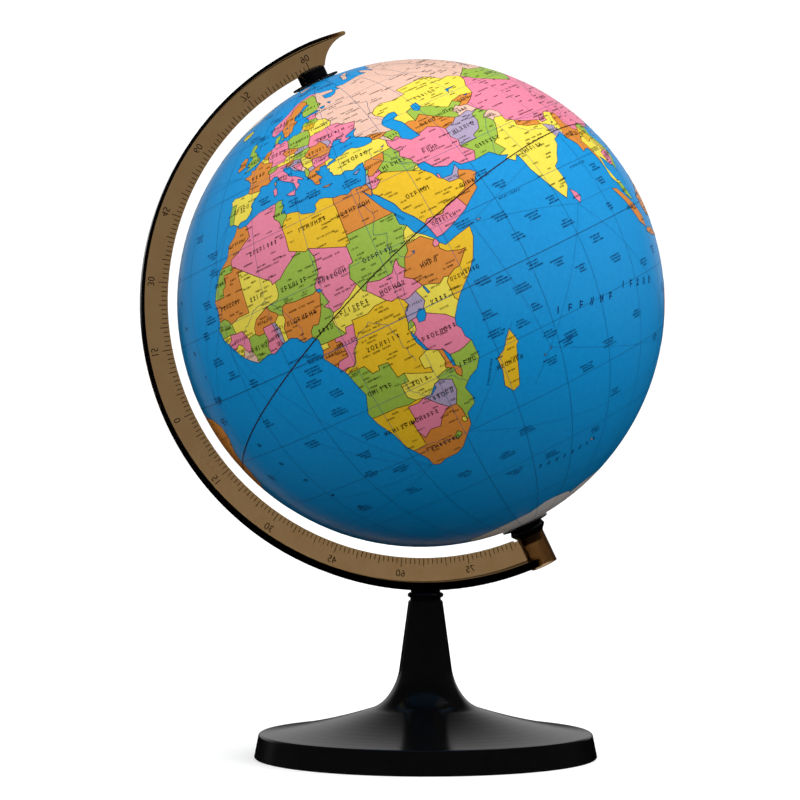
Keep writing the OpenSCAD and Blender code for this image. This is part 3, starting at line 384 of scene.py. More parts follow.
# Rivers, each a few places along its course.
RIVER_LINES = """
    31.5,31.4 31,27 33,24 30.8,19.5 33.8,18.2 32.5,15.6 31.5,9.5 31.5,4.5 / 32.5,15.6 35,11.5 37.2,11.7 /
    12.4,-6 15.5,-4.2 18,0.5 22,2.2 25.5,0.3 26.5,-5.5 27.5,-9.5 / 6.5,4.5 6.8,7.8 4,12.5 0,16.5 -3.5,15.8
    -8.5,12 -10,9.5 / 36,-18.7 33,-16 29,-16.2 26,-17.8 23,-15 23.5,-12 / 16.5,-28.6 20,-28.8 24,-29 27.5,-30.5
    / 48,46 45,48.6 47,51.5 48.5,54.5 44,56.2 36,57.5 / 29.5,45.2 26,43.7 19,44.8 19,47.5 14,48.5 9,48.2 /
    48.4,30.2 45.5,32 43,35.5 41,38 / 46.5,31 42,33.8 38.5,36.5 39.5,39.5 / 67.5,24.2 69,27.5 71.5,31.5 74.5,35
    / 90,22.5 87,25.3 82,26 78,29.5 / 90.2,23.8 94.5,27.5 88,29.3 82,30.2 / 121.5,31.5 116,30 111,30.3 106,29.5
    101,26.2 98,32 / 118.8,37.7 114.5,35 110.5,35 110,40.5 104,37 100,34.5 / 106.5,10.2 105.8,14.5 102,18 100,22
    98,29 / 96.3,16.5 96,21 97.5,25 / 69.5,66.5 66.5,64 69,60.5 76,59 84,54.5 / 82.5,70.5 87,66 91,60 92,54 /
    126.5,72.5 123.5,66.5 129,62.5 118,60 107,54.5 / 140.5,53 135,48.5 127.5,50.2 120,53.2 / 31.5,46.6 35,47.5
    32,49.5 30.5,52 31.5,55 / 5,52 7,50.5 8.3,49 7.7,47.6 / -89.5,29.5 -91,33 -89.5,38 -91.5,43 -94.5,47 /
    -90.2,38.8 -96,41 -104,47.5 -111.5,47.5 / -50.5,-0.3 -56,-2.3 -63,-3.8 -70,-4 -76,-5.5 / -58.4,-33.8
    -59,-28.5 -54.5,-25 -51,-20 / 138.8,-35.3 143,-34.5 147,-36"""
# Sea lanes join their two ends by the shortest way over the sea.
SEA_LANES = """
    51.8,12.3 72.5,18.8 / 51.8,12.3 79.7,6 / 79.7,6 95,6 / 79.7,6 57.5,-20 / 51.8,12.3 57.5,-20 / 57.5,-20
    115.3,-32.2 / 79.7,6 115.3,-32.2 / 31.5,-30.2 115,-34.6 / 31.5,-30.2 50.5,-11 / 51,-26.5 57.5,-20 / 18,-34.2
    -17.8,14.5 / 18,-34.2 -43,-23.2 / 18,-34.2 -57,-35.2 / 18,-34.2 -5.7,-16 / -5.7,-16 -17.8,14.5 / -17.8,14.5
    -34.5,-8 / -17.8,14.5 -9.6,38.6 / -9.6,38.6 -34.5,-8 / -6,49 -73.5,40.4 / -6,49 -79,26.5 / 105,5 114.2,21.8
    / 141,34.8 -123.5,37.8 / 154,-33.8 -80,7 / 154,-33.8 173,-34.3"""
# Sea names as (middle, mark height in mm, count of marks, gap as a share of the height, heading in degrees).
SEA_NAMES = (
    ((71.5, -14.8), 2.8, 6, 1.5, -9.0),
    ((92.0, -16.2), 2.8, 5, 1.5, -9.0),
    ((-36.0, 19.0), 2.3, 8, 4.7, -66.0),
    ((-15.8, -27.6), 2.3, 5, 4.7, -66.0),
    ((64.0, 14.5), 1.0, 9, 0.7, 0.0),
    ((88.0, 14.0), 1.0, 11, 0.6, 0.0),
    ((18.0, 34.5), 0.9, 11, 0.5, -8.0),
    ((34.0, 43.3), 0.8, 7, 0.5, 0.0),
    ((38.0, 20.5), 0.8, 6, 0.5, -58.0),
    ((3.0, 1.5), 1.0, 10, 0.5, 0.0),
    ((41.5, -19.0), 0.9, 12, 0.5, 60.0),
    ((150.0, 20.0), 3.4, 7, 1.0, 0.0),
    ((-140.0, 5.0), 3.4, 7, 1.0, 0.0),
    ((-120.0, -20.0), 3.4, 5, 1.0, 0.0),
    ((60.0, -50.0), 1.8, 8, 1.6, 0.0),
    ((114.0, 14.0), 1.0, 9, 0.6, 60.0),
    ((2.0, 57.0), 0.8, 7, 0.5, 0.0),
)
# Small notes at sea: islands, ports and depths.
SEA_NOTES = """
    55.5,-4.5 57,-9.5 52.5,-11.5 46,-11 58,-16.5 62,-20 56.5,-22.5 63.5,-19 73.5,4 73,10 72,-6.5 66,8.5 60,6
    92.5,9 93.5,12.5 90,3 80,-2 96.5,-12 105.5,-10.5 66.5,-28 77.5,-38 70,-46 51.5,-46.5 38,-46.5 37.5,-40
    24,-40 45,-36 8,-38 -10,-37.5 -6,-16.5 -14.5,-8 6.5,1 5,-1.5 3.5,-4 7.5,-8 5.5,-12 9,-20 4.5,-24 2,-29
    10,-31 -24,15.5 -16.5,28.5 -17,32.5 -26,38.5 -21,22 -20.5,18.5 -22,9 -18,5 -12,1.5 -29,1 -32,-4 -29.5,-20.5
    -7.5,62 -1.5,60.5 4,66 -9,71 19,75 38,73 27,76.5 20,35.6 4.5,39.8 14.3,35.8 30.5,34 60.5,22 63,18 58.5,11.5
    50,13.5 46,-6.5 52,-1 48,0.5 60.5,-1 66.5,-3 84,-8 88,-22 75,-25 100,-30 110,-20 128,22 142,27 145.5,15
    144,13 134,8 150,7.5 160,-12 168,-17 175,-21 178,-30 -172,-13.5 -150,-17 -140,-9 -110,-27 -91,-1 -80,-34
    -65,32 -60,14 -75,25"""


def to_places(text: str) -> list[Place]:
    """Reads typed places.

    Args:
        text: longitude,latitude pairs in degrees, parted by spaces.

    Returns:
        The places, in the order typed.
    """
    pairs = (pair.split(",") for pair in text.split())
    return [(float(lon), float(lat)) for lon, lat in pairs]


def to_lines(text: str) -> list[list[Place]]:
    """Reads typed lines of places, parted by slashes."""
    return [to_places(part) for part in text.split("/")]


def short_steps(places: Sequence[Place], step: float) -> list[Place]:
    """Adds places to a line so that no stretch is longer than a step.

    Args:
        places: the line's corners.
        step: the longest stretch, in degrees.

    Returns:
        The corners with evenly spaced places between them.
    """
    out = [places[0]]
    for (lon0, lat0), (lon1, lat1) in zip(places, places[1:]):
        wide = (lon1 - lon0) * math.cos(math.radians((lat0 + lat1) / 2))
        count = max(1, math.ceil(math.hypot(wide, lat1 - lat0) / step))
        for i in range(1, count + 1):
            t = i / count
            out.append((lon0 + (lon1 - lon0) * t, lat0 + (lat1 - lat0) * t))
    return out


def linear(hex_code: str) -> tuple[float, float, float, float]:
    """Turns an sRGB hex colour to the linear values that shaders use.

    Args:
        hex_code: six hex digits.

    Returns:
        Red, green, blue and a full alpha.
    """
    values = (int(hex_code[i : i + 2], 16) / 255 for i in (0, 2, 4))
    red, green, blue = (v / 12.92 if v <= 0.04045 else ((v + 0.055) / 1.055) ** 2.4 for v in values)
    return red, green, blue, 1.0


def add_node(
    tree: bpy.types.NodeTree,
    kind: str,
    settings: dict[str, object] | None = None,
    links: dict[str, bpy.types.NodeSocket] | None = None,
) -> bpy.types.Node:
    """Adds one node with its settings and links.

    Args:
        tree: the node tree it goes in.
        kind: the node's type name.
        settings: values for its input sockets or its own properties, by name.
        links: output sockets to join to its inputs, by input name.

    Returns:
        The new node.
    """
    node = tree.nodes.new(kind)
    for name, value in (settings or {}).items():
        if name in node.inputs:
            node.inputs[name].default_value = value
        else:
            setattr(node, name, value)
    for name, socket in (links or {}).items():
        tree.links.new(socket, node.inputs[name])
    return node


@dataclass(frozen=True)
class Finish:
    """A surface finish: two close shades mottled together, with its own gloss and grain.

    The shades are sRGB hex; grain, bump_height and bump_grain are millimetres.
    """

    name: str
    light: str
    dark: str
    roughness: float
    grain: float
    roughness_swing: float = 0.04
    metallic: float = 0.0
    ior: float = 1.5
    specular: float = 0.5
    coat: float = 0.0
    coat_roughness: float = 0.05
    bump_height: float = 0.0
    bump_grain: float = 1.0
    glow: float = 0.0
    mottle_span: tuple[float, float] = (0.3, 0.7)

    def material(self) -> bpy.types.Material:
        """Builds the finish once and hands out the same material after that."""
        return bpy.data.materials.get(self.name) or self.build()

    def build(self) -> bpy.types.Material:
        """Makes the material's nodes.

        Returns:
            The new material.
        """
        material = bpy.data.materials.new(self.name)
        material.use_nodes = True
        tree = material.node_tree
        tree.nodes.clear()
        place = add_node(tree, "ShaderNodeTexCoord").outputs["Object"]
        mottle = add_node(
            tree,
            "ShaderNodeTexNoise",
            {"Scale": 1 / (self.grain * MM), "Detail": 3.0, "Roughness": 0.55},
            {"Vector": place},
        ).outputs["Fac"]
        shades = add_node(tree, "ShaderNodeValToRGB", links={"Fac": mottle})
        low, high = shades.color_ramp.elements
        low.position, high.position = self.mottle_span
        low.color, high.color = linear(self.dark), linear(self.light)
        gloss = add_node(
            tree,
            "ShaderNodeMapRange",
            {"To Min": self.roughness - self.roughness_swing, "To Max": self.roughness + self.roughness_swing},
            {"Value": mottle},
        )
        skin = add_node(
            tree,
            "ShaderNodeBsdfPrincipled",
            {
                "Metallic": self.metallic,
                "IOR": self.ior,
                "Specular IOR Level": self.specular,
                "Coat Weight": self.coat,
                "Coat Roughness": self.coat_roughness,
                "Emission Color": (1.0, 1.0, 1.0, 1.0),
                "Emission Strength": self.glow,
            },
            {"Base Color": shades.outputs["Color"], "Roughness": gloss.outputs["Result"]},
        )
        if self.bump_height:
            relief = add_node(
                tree,
                "ShaderNodeTexNoise",
                {"Scale": 1 / (self.bump_grain * MM), "Detail": 2.0},
                {"Vector": place},
            )
            bump = add_node(
                tree,
                "ShaderNodeBump",
                {"Distance": self.bump_height * MM, "Strength": 1.0},
                {"Height": relief.outputs["Fac"]},
            )
            tree.links.new(bump.outputs["Normal"], skin.inputs["Normal"])
        end = add_node(tree, "ShaderNodeOutputMaterial", links={"Surface": skin.outputs["BSDF"]})
        self.fill_inside(tree, skin, end)
        return material

    def fill_inside(self, tree: bpy.types.NodeTree, skin: bpy.types.Node, end: bpy.types.Node) -> None:
        """Leaves the inside of an opaque finish empty.

        Args:
            tree: the material's node tree.
            skin: the surface shader.
            end: the output node.
        """


@dataclass(frozen=True)
class ClearFinish(Finish):
    """A see-through moulded plastic whose tint deepens with its thickness.

    Tint is the sRGB hex of what one absorbing length lets through. Density is how many such lengths fit in a metre.
    """

    tint: str = "ffffff"
    density: float = 0.0

    def fill_inside(self, tree: bpy.types.NodeTree, skin: bpy.types.Node, end: bpy.types.Node) -> None:
        """Lets light through the skin and dyes what is inside it.

        Args:
            tree: the material's node tree.
            skin: the surface shader.
            end: the output node.
        """
        skin.inputs["Transmission Weight"].default_value = 1.0
        dye = add_node(tree, "ShaderNodeVolumeAbsorption", {"Color": linear(self.tint), "Density": self.density})
        tree.links.new(dye.outputs["Volume"], end.inputs["Volume"])


# High-gloss injection-moulded styrene: deep black with clean soft reflections.
GLOSS_BLACK = Finish("gloss_moulded_styrene_black", "070708", "050506", 0.16, 6.0, 0.03)
# The same styrene from a polished tool, in the small turned trims: sharper reflections.
TRIM_BLACK = Finish("polished_styrene_trim_black", "08080a", "050507", 0.1, 3.0, 0.02)
# Spark-eroded moulded cover: a fine even grain that scatters light.
COVER_BLACK = Finish(
    "grained_moulded_cover_black", "1c1c1e", "131315", 0.48, 1.2, 0.06, bump_height=0.05, bump_grain=0.5
)
# Moulded rubber foot: dull dark grey with a faint powdery bloom.
FOOT_RUBBER = Finish("moulded_rubber_grey", "37373a", "28282a", 0.82, 1.5, 0.06, bump_height=0.04, bump_grain=0.6)
# Bright zinc plate over drawn steel: cool grey with faint clouding.
ZINC_STEEL = Finish("zinc_plated_steel", "c9ccd0", "a9adb3", 0.32, 0.9, 0.08, metallic=1.0)
# Uncoloured moulded acetal: milky off-white with a waxy sheen.
NATURAL_ACETAL = Finish("natural_moulded_acetal", "eeebe2", "e2dfd4", 0.35, 2.0)
# Smoke-brown clear moulded styrene: the thin web lets brown light through and the wide rim goes black.
SMOKE_CLEAR = ClearFinish(
    "smoke_brown_clear_styrene", "ffffff", "f7f3ec", 0.05, 8.0, 0.02, ior=1.59, tint="ae8c00", density=1480.0
)
# Screen-printed ink for the arm's scale: flat dark brown-black.
SCALE_INK = Finish("screen_printed_scale_ink", "0e0906", "080503", 0.5, 0.8, specular=0.2)
# Matt white paper sweep under the stand: no sheen, and a faint glow that keeps it white.
SWEEP_PAPER = Finish("matt_white_paper_sweep", "f2f2f2", "efefef", 0.85, 40.0, specular=0.1, glow=0.25)


class Ink(Enum):
    """The printed ball's colours, as the shade names that COUNTRY_PLACES uses."""

    SEA = ("sea", "0c9be2", "0a94da")
    PINK = ("pink", "f48ca8", "ee84a0")
    GOLD = ("gold", "f6c828", "eec020")
    LEMON = ("lemon", "f8e654", "f2de4a")
    ORANGE = ("orange", "e6923c", "de8a34")
    GREEN = ("green", "a4c44c", "9abc44")
    LAVENDER = ("lavender", "b6a6c4", "ac9cba")
    PEACH = ("peach", "efc6b4", "e8bda8")
    ICE = ("ice", "f6f0ea", "efe8e2")
    COAST = ("coast", "1e4a78", "183f6a")
    BORDER = ("border", "5a2a14", "4e220f")
    GRID = ("grid", "1a5c8e", "165586")
    TRACK = ("track", "3a1016", "2e0c10")
    RIVER = ("river", "2c5c84", "265276")
    LANE = ("lane", "1d78b0", "1870a8")
    NAME = ("name", "171412", "0f0d0b")
    SEA_NAME = ("sea_name", "0a2c68", "08265c")

    def finish(self) -> Finish:
        """Offset litho ink under clear lacquer: a whisper of mottle in the ink, and one wet gloss over all of it.

        Litho dots are about 0.1 mm and too fine to show, so the mottle is drawn 1.6 mm wide.

        Returns:
            The ink's finish.
        """
        name, light, dark = self.value
        return Finish(
            f"lacquered_litho_ink_{name}", light, dark, 0.3, 1.6, specular=0.25, coat=0.08, coat_roughness=0.1
        )


INK_BY_NAME = {ink.value[0]: ink for ink in Ink}


def new_piece(
    name: str,
    points: Sequence[Vector],
    faces: Sequence[Sequence[int]],
    finish: Finish,
    body: str,
    normals: Sequence[Vector] | None = None,
) -> bpy.types.Object:
    """Makes one piece and sets it on its body.

    Args:
        name: the piece's name.
        points: its vertices, in metres in the shared frame.
        faces: its faces, as vertex numbers.
        finish: what it is made of.
        body: the CAD body it rides on.
        normals: one exact normal for each vertex, where the piece lies on a curved face.

    Returns:
        The new object.
    """
    mesh = bpy.data.meshes.new(name)
    mesh.from_pydata([tuple(p) for p in points], [], [tuple(f) for f in faces])
    mesh.validate()
    mesh.materials.append(finish.material())
    if normals is not None:
        mesh.polygons.foreach_set("use_smooth", [True] * len(mesh.polygons))
        mesh.normals_split_custom_set_from_vertices([tuple(n) for n in normals])
    mesh.update()
    piece = bpy.data.objects.new(name, mesh)
    bpy.context.scene.collection.objects.link(piece)
    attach(piece, body)
    log.info("piece %s: %d faces", name, len(mesh.polygons))
    return piece


@dataclass(frozen=True)
class SpinAxis:
    """The line the ball spins on: the ball's centre in metres, and the unit direction of its north end."""

    centre: Vector
    north: Vector


@dataclass
class PrintedSphere:
    """The ball's outer face, which turns places on the map to points in space.

    The radius is in metres and the turn, which sets the side that faces the front, is in degrees.
    """

    centre: Vector
    north: Vector
    radius: float
    turn: float

    def __post_init__(self) -> None:
        """Works out the two directions in the equator's plane."""
        side = Vector((0, 1, 0)).cross(self.north).normalized()
        away = self.north.cross(side)
        angle = math.radians(self.turn)
        self.prime = side * math.cos(angle) + away * math.sin(angle)
        self.east = self.north.cross(self.prime)

    def direction(self, lon: float, lat: float) -> Vector:
        """Finds which way a place lies from the ball's centre.

        Args:
            lon: its longitude in degrees east.
            lat: its latitude in degrees north.

        Returns:
            The unit direction outward.
        """
        a, b = math.radians(lon), math.radians(lat)
        flat = self.prime * math.cos(a) + self.east * math.sin(a)
        return flat * math.cos(b) + self.north * math.sin(b)

    def shift(self, place: Place, right: float, up: float) -> Place:
        """Moves a place over the ball's face.

        Args:
            place: where it starts.
            right: how far east, in millimetres.
            up: how far north, in millimetres.

        Returns:
            The place it ends at.
        """
        lon, lat = place
        per_mm = math.degrees(MM / self.radius)
        return lon + right * per_mm / math.cos(math.radians(lat)), lat + up * per_mm


@dataclass
class InkSkin:
    """A thin open skin of one ink, lifted a little off the ball. The lift is in millimetres."""

    sphere: PrintedSphere
    name: str
    ink: Ink
    lift: float
    directions: list[Vector] = field(default_factory=list)
    faces: list[tuple[int, ...]] = field(default_factory=list)

    def add_face(self, places: Iterable[Place]) -> None:
        """Adds one face.

        Args:
            places: its corners.
        """
        start = len(self.directions)
        self.directions += [self.sphere.direction(lon, lat) for lon, lat in places]
        self.faces.append(tuple(range(start, len(self.directions))))

    def add_stroke(self, start: Vector, end: Vector, width: float, reach: float = 0.5) -> None:
        """Adds one straight printed stroke.

        Args:
            start: the direction of its start from the ball's centre.
            end: the direction of its end.
            width: its width in millimetres.
            reach: how far each end runs on, as a share of the width.
        """
        half = width * MM / self.sphere.radius / 2
        along = (end - start).normalized()
        across = (start + end).cross(along).normalized() * half
        over = along * (half * 2 * reach)
        first = len(self.directions)
        corners = (start - over - across, end + over - across, end + over + across, start - over + across)
        self.directions += [corner.normalized() for corner in corners]
        self.faces.append((first, first + 1, first + 2, first + 3))

    def add_line(self, places: Sequence[Place], width: float, step: float = 1.5) -> None:
        """Adds a printed line.

        Args:
            places: the places it runs through.
            width: its width in millimetres.
            step: the longest straight stretch, in degrees.
        """
        steps = [self.sphere.direction(*place) for place in short_steps(places, step)]
        for start, end in zip(steps, steps[1:]):
            self.add_stroke(start, end, width)

    def build(self) -> bpy.types.Object:
        """Makes the piece, its faces turned outward.

        Returns:
            The new object.
        """
        radius = self.sphere.radius + self.lift * MM
        points = [self.sphere.centre + d * radius for d in self.directions]
        faces = []
        for face in self.faces:
            a, b, c = (self.directions[i] for i in face[:3])
            faces.append(face if (b - a).cross(c - b).dot(a) > 0 else face[::-1])
        return new_piece(self.name, points, faces, self.ink.finish(), "ball", self.directions)


@dataclass
class MapRegions:
    """The land, cut into triangles by the coasts and borders and sorted by ink. Lengths are degrees."""

    grid: float = 2.5
    step: float = 2.0
    west: float = -169.0
    cap: float = -88.0
    nudge: float = 1e-6

    def __post_init__(self) -> None:
        """Triangulates the map and fills each country from its own place."""
        self.places: list[Place] = []
        self.triangles: list[tuple[int, ...]] = []
        self.edges: dict[tuple[int, int], list[int]] = {}
        self.walls: set[tuple[int, int]] = set()
        self.land: list[bool] = []
        self.cut()
        self.owner = [-1] * len(self.triangles)
        self.seeds = [
            (INK_BY_NAME[name], place) for name, text in COUNTRY_PLACES.items() for place in to_places(text)
        ]
        self.fill()

    def loops(self) -> tuple[list[list[Place]], int]:
        """Lists the closed outlines.

        Returns:
            The land outlines then the lakes, and how many of them are land.
        """
        ice = to_places(ICE_EDGE)
        foot = [(lon, self.cap) for lon in (ice[-1][0], ice[0][0])]
        land = [to_places(text) for text in LAND_LOOPS.values()] + [ice + foot]
        lakes = [to_places(text) for text in LAKE_LOOPS.values()]
        return land + lakes, len(land)

    @staticmethod
    def leftward(loop: list[Place]) -> list[Place]:
        """Turns a loop, where needed, so that its inside is on the left, as the triangulation wants."""
        twice = sum(x0 * y1 - x1 * y0 for (x0, y0), (x1, y1) in zip(loop, loop[1:] + loop[:1]))
        return loop if twice > 0 else loop[::-1]

    def cut(self) -> None:
        """Triangulates the coasts, borders and a grid of places between them."""
        loops, land_count = self.loops()
        corners: list[Place] = []
        rings, lines = [], []
        for loop in loops:
            ring = self.leftward(short_steps([*loop, loop[0]], self.step)[:-1])
            rings.append(list(range(len(corners), len(corners) + len(ring))))
            corners += ring
        for text in BORDER_LINES.values():
            for line in to_lines(text):
                steps = short_steps(line, self.step)
                lines += [(len(corners) + i, len(corners) + i + 1) for i in range(len(steps) - 1)]
                corners += steps
        corners += self.grid_places()
        flat = [Vector(corner) for corner in corners]
        result = delaunay_2d_cdt(flat, lines, rings, 0, self.nudge, True)
        places, edges, triangles, _, edge_sources, face_sources = result
        self.places = [(p.x, p.y) for p in places]
        self.triangles = [tuple(t) for t in triangles]
        self.walls = {tuple(sorted(edge)) for edge, source in zip(edges, edge_sources) if source}
        for number, triangle in enumerate(self.triangles):
            for a, b in zip(triangle, triangle[1:] + triangle[:1]):
                self.edges.setdefault((min(a, b), max(a, b)), []).append(number)
        self.land = [bool(source) and max(source) < land_count for source in face_sources]

    def grid_places(self) -> list[Place]:
        """Lists places in rows over the whole map, so that no triangle is too wide to follow the ball's curve.

        Returns:
            The places, row by row from the south.
        """
        columns = round(360 / self.grid)
        rows = (-90 + row * self.grid for row in range(1, int(180 / self.grid)))
        return [
            (self.west + 360 * (i + 0.5) / columns, lat) for lat in rows if lat > self.cap for i in range(columns)
        ]

    def fill(self) -> None:
        """Spreads each country from its own place up to its borders."""
        corner = np.array([[self.places[i] for i in t] for t in self.triangles])
        first, second, third = corner[:, 0], corner[:, 1], corner[:, 2]
        for number, (_, place) in enumerate(self.seeds):
            spot = np.array(place)
            sides = [
                (b[:, 0] - a[:, 0]) * (spot[1] - a[:, 1]) - (b[:, 1] - a[:, 1]) * (spot[0] - a[:, 0])
                for a, b in ((first, second), (second, third), (third, first))
            ]
            inside = np.all(np.array(sides) >= 0, axis=0) | np.all(np.array(sides) <= 0, axis=0)
            found = [int(i) for i in np.nonzero(inside)[0] if self.land[int(i)]]
            if not found:
                log.warning("place %s is at sea", place)
                continue
            if self.owner[found[0]] >= 0:
                log.warning("place %s is in a country that is filled already", place)
            else:
                self.flood(found[0], number)
        empty = [i for i, owner in enumerate(self.owner) if owner < 0 and self.land[i]]
        while empty:
            log.info("land with no typed place is printed peach, near %.0f,%.0f", *self.middle(empty[0]))
            self.seeds.append((Ink.PEACH, self.middle(empty[0])))
            self.flood(empty[0], len(self.seeds) - 1)
            empty = [i for i in empty if self.owner[i] < 0]

    def flood(self, start: int, number: int) -> None:
        """Gives one country every triangle it reaches without crossing a wall.

        Args:
            start: a triangle inside the country.
            number: the country's number.
        """
        stack = [start]
        self.owner[start] = number
        while stack:
            triangle = self.triangles[stack.pop()]
            for a, b in zip(triangle, triangle[1:] + triangle[:1]):
                edge = (min(a, b), max(a, b))
                if edge in self.walls:
                    continue
                for other in self.edges[edge]:
                    if self.owner[other] < 0 and self.land[other]:
                        self.owner[other] = number
                        stack.append(other)

    def middle(self, number: int) -> Place:
        """Finds the middle of a triangle, by its number."""
        corners = [self.places[i] for i in self.triangles[number]]
        return sum(c[0] for c in corners) / 3, sum(c[1] for c in corners) / 3

    def size(self, number: int) -> float:
        """Works out how large a triangle is on the ball.

        Args:
            number: the triangle's number.

        Returns:
            Its area in square degrees at the equator.
        """
        (x0, y0), (x1, y1), (x2, y2) = (self.places[i] for i in self.triangles[number])
        flat = abs((x1 - x0) * (y2 - y0) - (x2 - x0) * (y1 - y0)) / 2
        return flat * math.cos(math.radians((y0 + y1 + y2) / 3))


# Unreadable marks that stand for lettering: strokes in a box as high as 1, drawn where the print has names.
NAME_MARKS = (
    ((0.0, 0.0, 0.0, 1.0), (0.5, 0.0, 0.5, 1.0), (0.0, 0.3, 0.5, 0.7)),
    ((0.0, 0.0, 0.0, 1.0), (0.0, 0.95, 0.5, 0.75), (0.0, 0.45, 0.5, 0.35)),
    ((0.25, 0.0, 0.25, 1.0), (0.0, 0.35, 0.5, 0.35), (0.0, 0.75, 0.5, 0.75)),
    ((0.0, 0.1, 0.5, 0.9), (0.0, 0.1, 0.5, 0.1), (0.0, 0.6, 0.15, 1.0)),
    ((0.0, 0.0, 0.2, 1.0), (0.35, 0.0, 0.55, 1.0)),
    ((0.0, 0.2, 0.0, 0.8), (0.5, 0.2, 0.5, 0.8), (0.0, 0.2, 0.5, 0.0), (0.0, 0.8, 0.5, 1.0)),
    ((0.1, 0.0, 0.1, 1.0),),
)


@dataclass
class PrintedMap:
    """The map on the ball: land inks, coasts, borders, grid, lines of the year and name marks.

    Widths, heights and lifts are millimetres, land areas are square millimetres, spacings and latitudes are
    degrees, and gaps, slants and weights are shares of the marks' height.
    """

    sphere: PrintedSphere
    regions: MapRegions
    land_lift: float = 0.05
    line_lift: float = 0.07
    name_lift: float = 0.09
    coast_width: float = 0.24
    border_width: float = 0.26
    grid_width: float = 0.14
    grid_spacing: int = 15
    grid_end: int = 84
    year_tilt: float = 23.44
    track_width: float = 0.42
    track_step: int = 3
    day_mark_width: float = 0.14
    day_mark_length: float = 0.55
    river_width: float = 0.16
    river_bend: float = 0.3
    river_step: float = 1.2
    lane_width: float = 0.12
    long_step: float = 2.0
    smallest_named: float = 3.0
    name_heights: tuple[float, float] = (0.8, 1.9)
    name_gap: float = 0.45
    town_height: float = 0.7
    town_weight: float = 0.15
    land_per_town: float = 24.0
    cold_land_per_town: float = 80.0
    cold_from: float = 60.0
    name_marks: tuple[int, int] = (4, 8)
    small_gap: float = 0.25
    sea_slant: float = 0.25
    note_height: float = 0.7
    note_weight: float = 0.16
    note_slant: float = 0.2
    note_rows: int = 3
    note_marks: tuple[int, int] = (6, 14)
    note_row_shift: tuple[float, float] = (0.4, -1.15)
    dice: random.Random = field(default_factory=lambda: random.Random(11))

    def build(self) -> None:
        """Makes every printed layer."""
        self.build_land()
        self.build_edges()
        self.build_grid()
        self.build_sun_track()
        self.build_rivers()
        self.build_sea_lanes()
        self.build_names()

    def build_land(self) -> None:
        """Makes one skin of each land ink."""
        skins: dict[Ink, InkSkin] = {}
        for triangle, owner in zip(self.regions.triangles, self.regions.owner):
            if owner >= 0:
                ink = self.regions.seeds[owner][0]
                skin = skins.setdefault(ink, InkSkin(self.sphere, f"land_{ink.value[0]}", ink, self.land_lift))
                skin.add_face(self.regions.places[i] for i in triangle)
        for skin in skins.values():
            skin.build()

    def build_edges(self) -> None:
        """Makes the coast lines, and the country borders where they part two countries."""
        coast = InkSkin(self.sphere, "coast_lines", Ink.COAST, self.line_lift)
        border = InkSkin(self.sphere, "country_borders", Ink.BORDER, self.line_lift)
        for edge in sorted(self.regions.walls):
            owners = {self.regions.owner[i] for i in self.regions.edges.get(edge, [])}
            if len(owners) < 2:
                continue
            start, end = (self.sphere.direction(*self.regions.places[i]) for i in edge)
            if -1 in owners:
                coast.add_stroke(start, end, self.coast_width)
            else:
                border.add_stroke(start, end, self.border_width)
        coast.build()
        border.build()

    def build_grid(self) -> None:
        """Makes the meridians and parallels, and the stronger equator."""
        grid = InkSkin(self.sphere, "map_grid", Ink.GRID, self.line_lift)
        for lon in range(0, 360, self.grid_spacing):
            grid.add_line([(lon, -self.grid_end), (lon, self.grid_end)], self.grid_width, self.long_step)
        for lat in range(self.grid_spacing - 90, 90, self.grid_spacing):
            width = self.grid_width * (2 if lat == 0 else 1)
            grid.add_line([(0, lat), (360, lat)], width, self.long_step)
        grid.build()

    def build_sun_track(self) -> None:
        """Makes the sun's yearly track with its day marks."""
        track = InkSkin(self.sphere, "sun_track", Ink.TRACK, self.name_lift)
        steep = math.tan(math.radians(self.year_tilt))
        lons = range(0, 361, self.track_step)
        curve = [(lon, math.degrees(math.atan(steep * math.sin(math.radians(lon))))) for lon in lons]
        track.add_line(curve, self.track_width)
        for (lon0, lat0), (lon1, lat1) in zip(curve, curve[1:]):
            span = math.hypot(lon1 - lon0, lat1 - lat0)
            right, up = (lat1 - lat0) / span, -(lon1 - lon0) / span
            for share in (0.0, 0.5):
                middle = (lon0 + (lon1 - lon0) * share, lat0 + (lat1 - lat0) * share)
                tip = self.sphere.shift(middle, right * self.day_mark_length, up * self.day_mark_length)
                track.add_stroke(self.sphere.direction(*middle), self.sphere.direction(*tip), self.day_mark_width)
        track.build()

    def build_rivers(self) -> None:
        """Makes the rivers."""
        river = InkSkin(self.sphere, "rivers", Ink.RIVER, self.line_lift)
        for line in to_lines(RIVER_LINES):
            river.add_line(self.wander(line), self.river_width, self.long_step)
        river.build()

    def build_sea_lanes(self) -> None:
        """Makes the sea lanes, each along a great circle."""
        lane = InkSkin(self.sphere, "sea_lanes", Ink.LANE, self.line_lift)
        for start, end in to_lines(SEA_LANES):
            first, last = self.sphere.direction(*start), self.sphere.direction(*end)
            count = max(2, math.ceil(math.degrees(first.angle(last)) / self.long_step))
            arc = [first.slerp(last, i / count) for i in range(count + 1)]
            for a, b in zip(arc, arc[1:]):
                lane.add_stroke(a, b, self.lane_width)
        lane.build()

    def wander(self, line: Sequence[Place]) -> list[Place]:
        """Bends a river a little between its typed places.

        Args:
            line: the river's typed places.

        Returns:
            More places along it, all but the ends moved at random.
        """
        steps, bend = short_steps(line, self.river_step), self.river_bend
        inner = [
            (lon + self.dice.uniform(-bend, bend), lat + self.dice.uniform(-bend, bend)) for lon, lat in steps[1:-1]
        ]
        return [steps[0], *inner, steps[-1]]

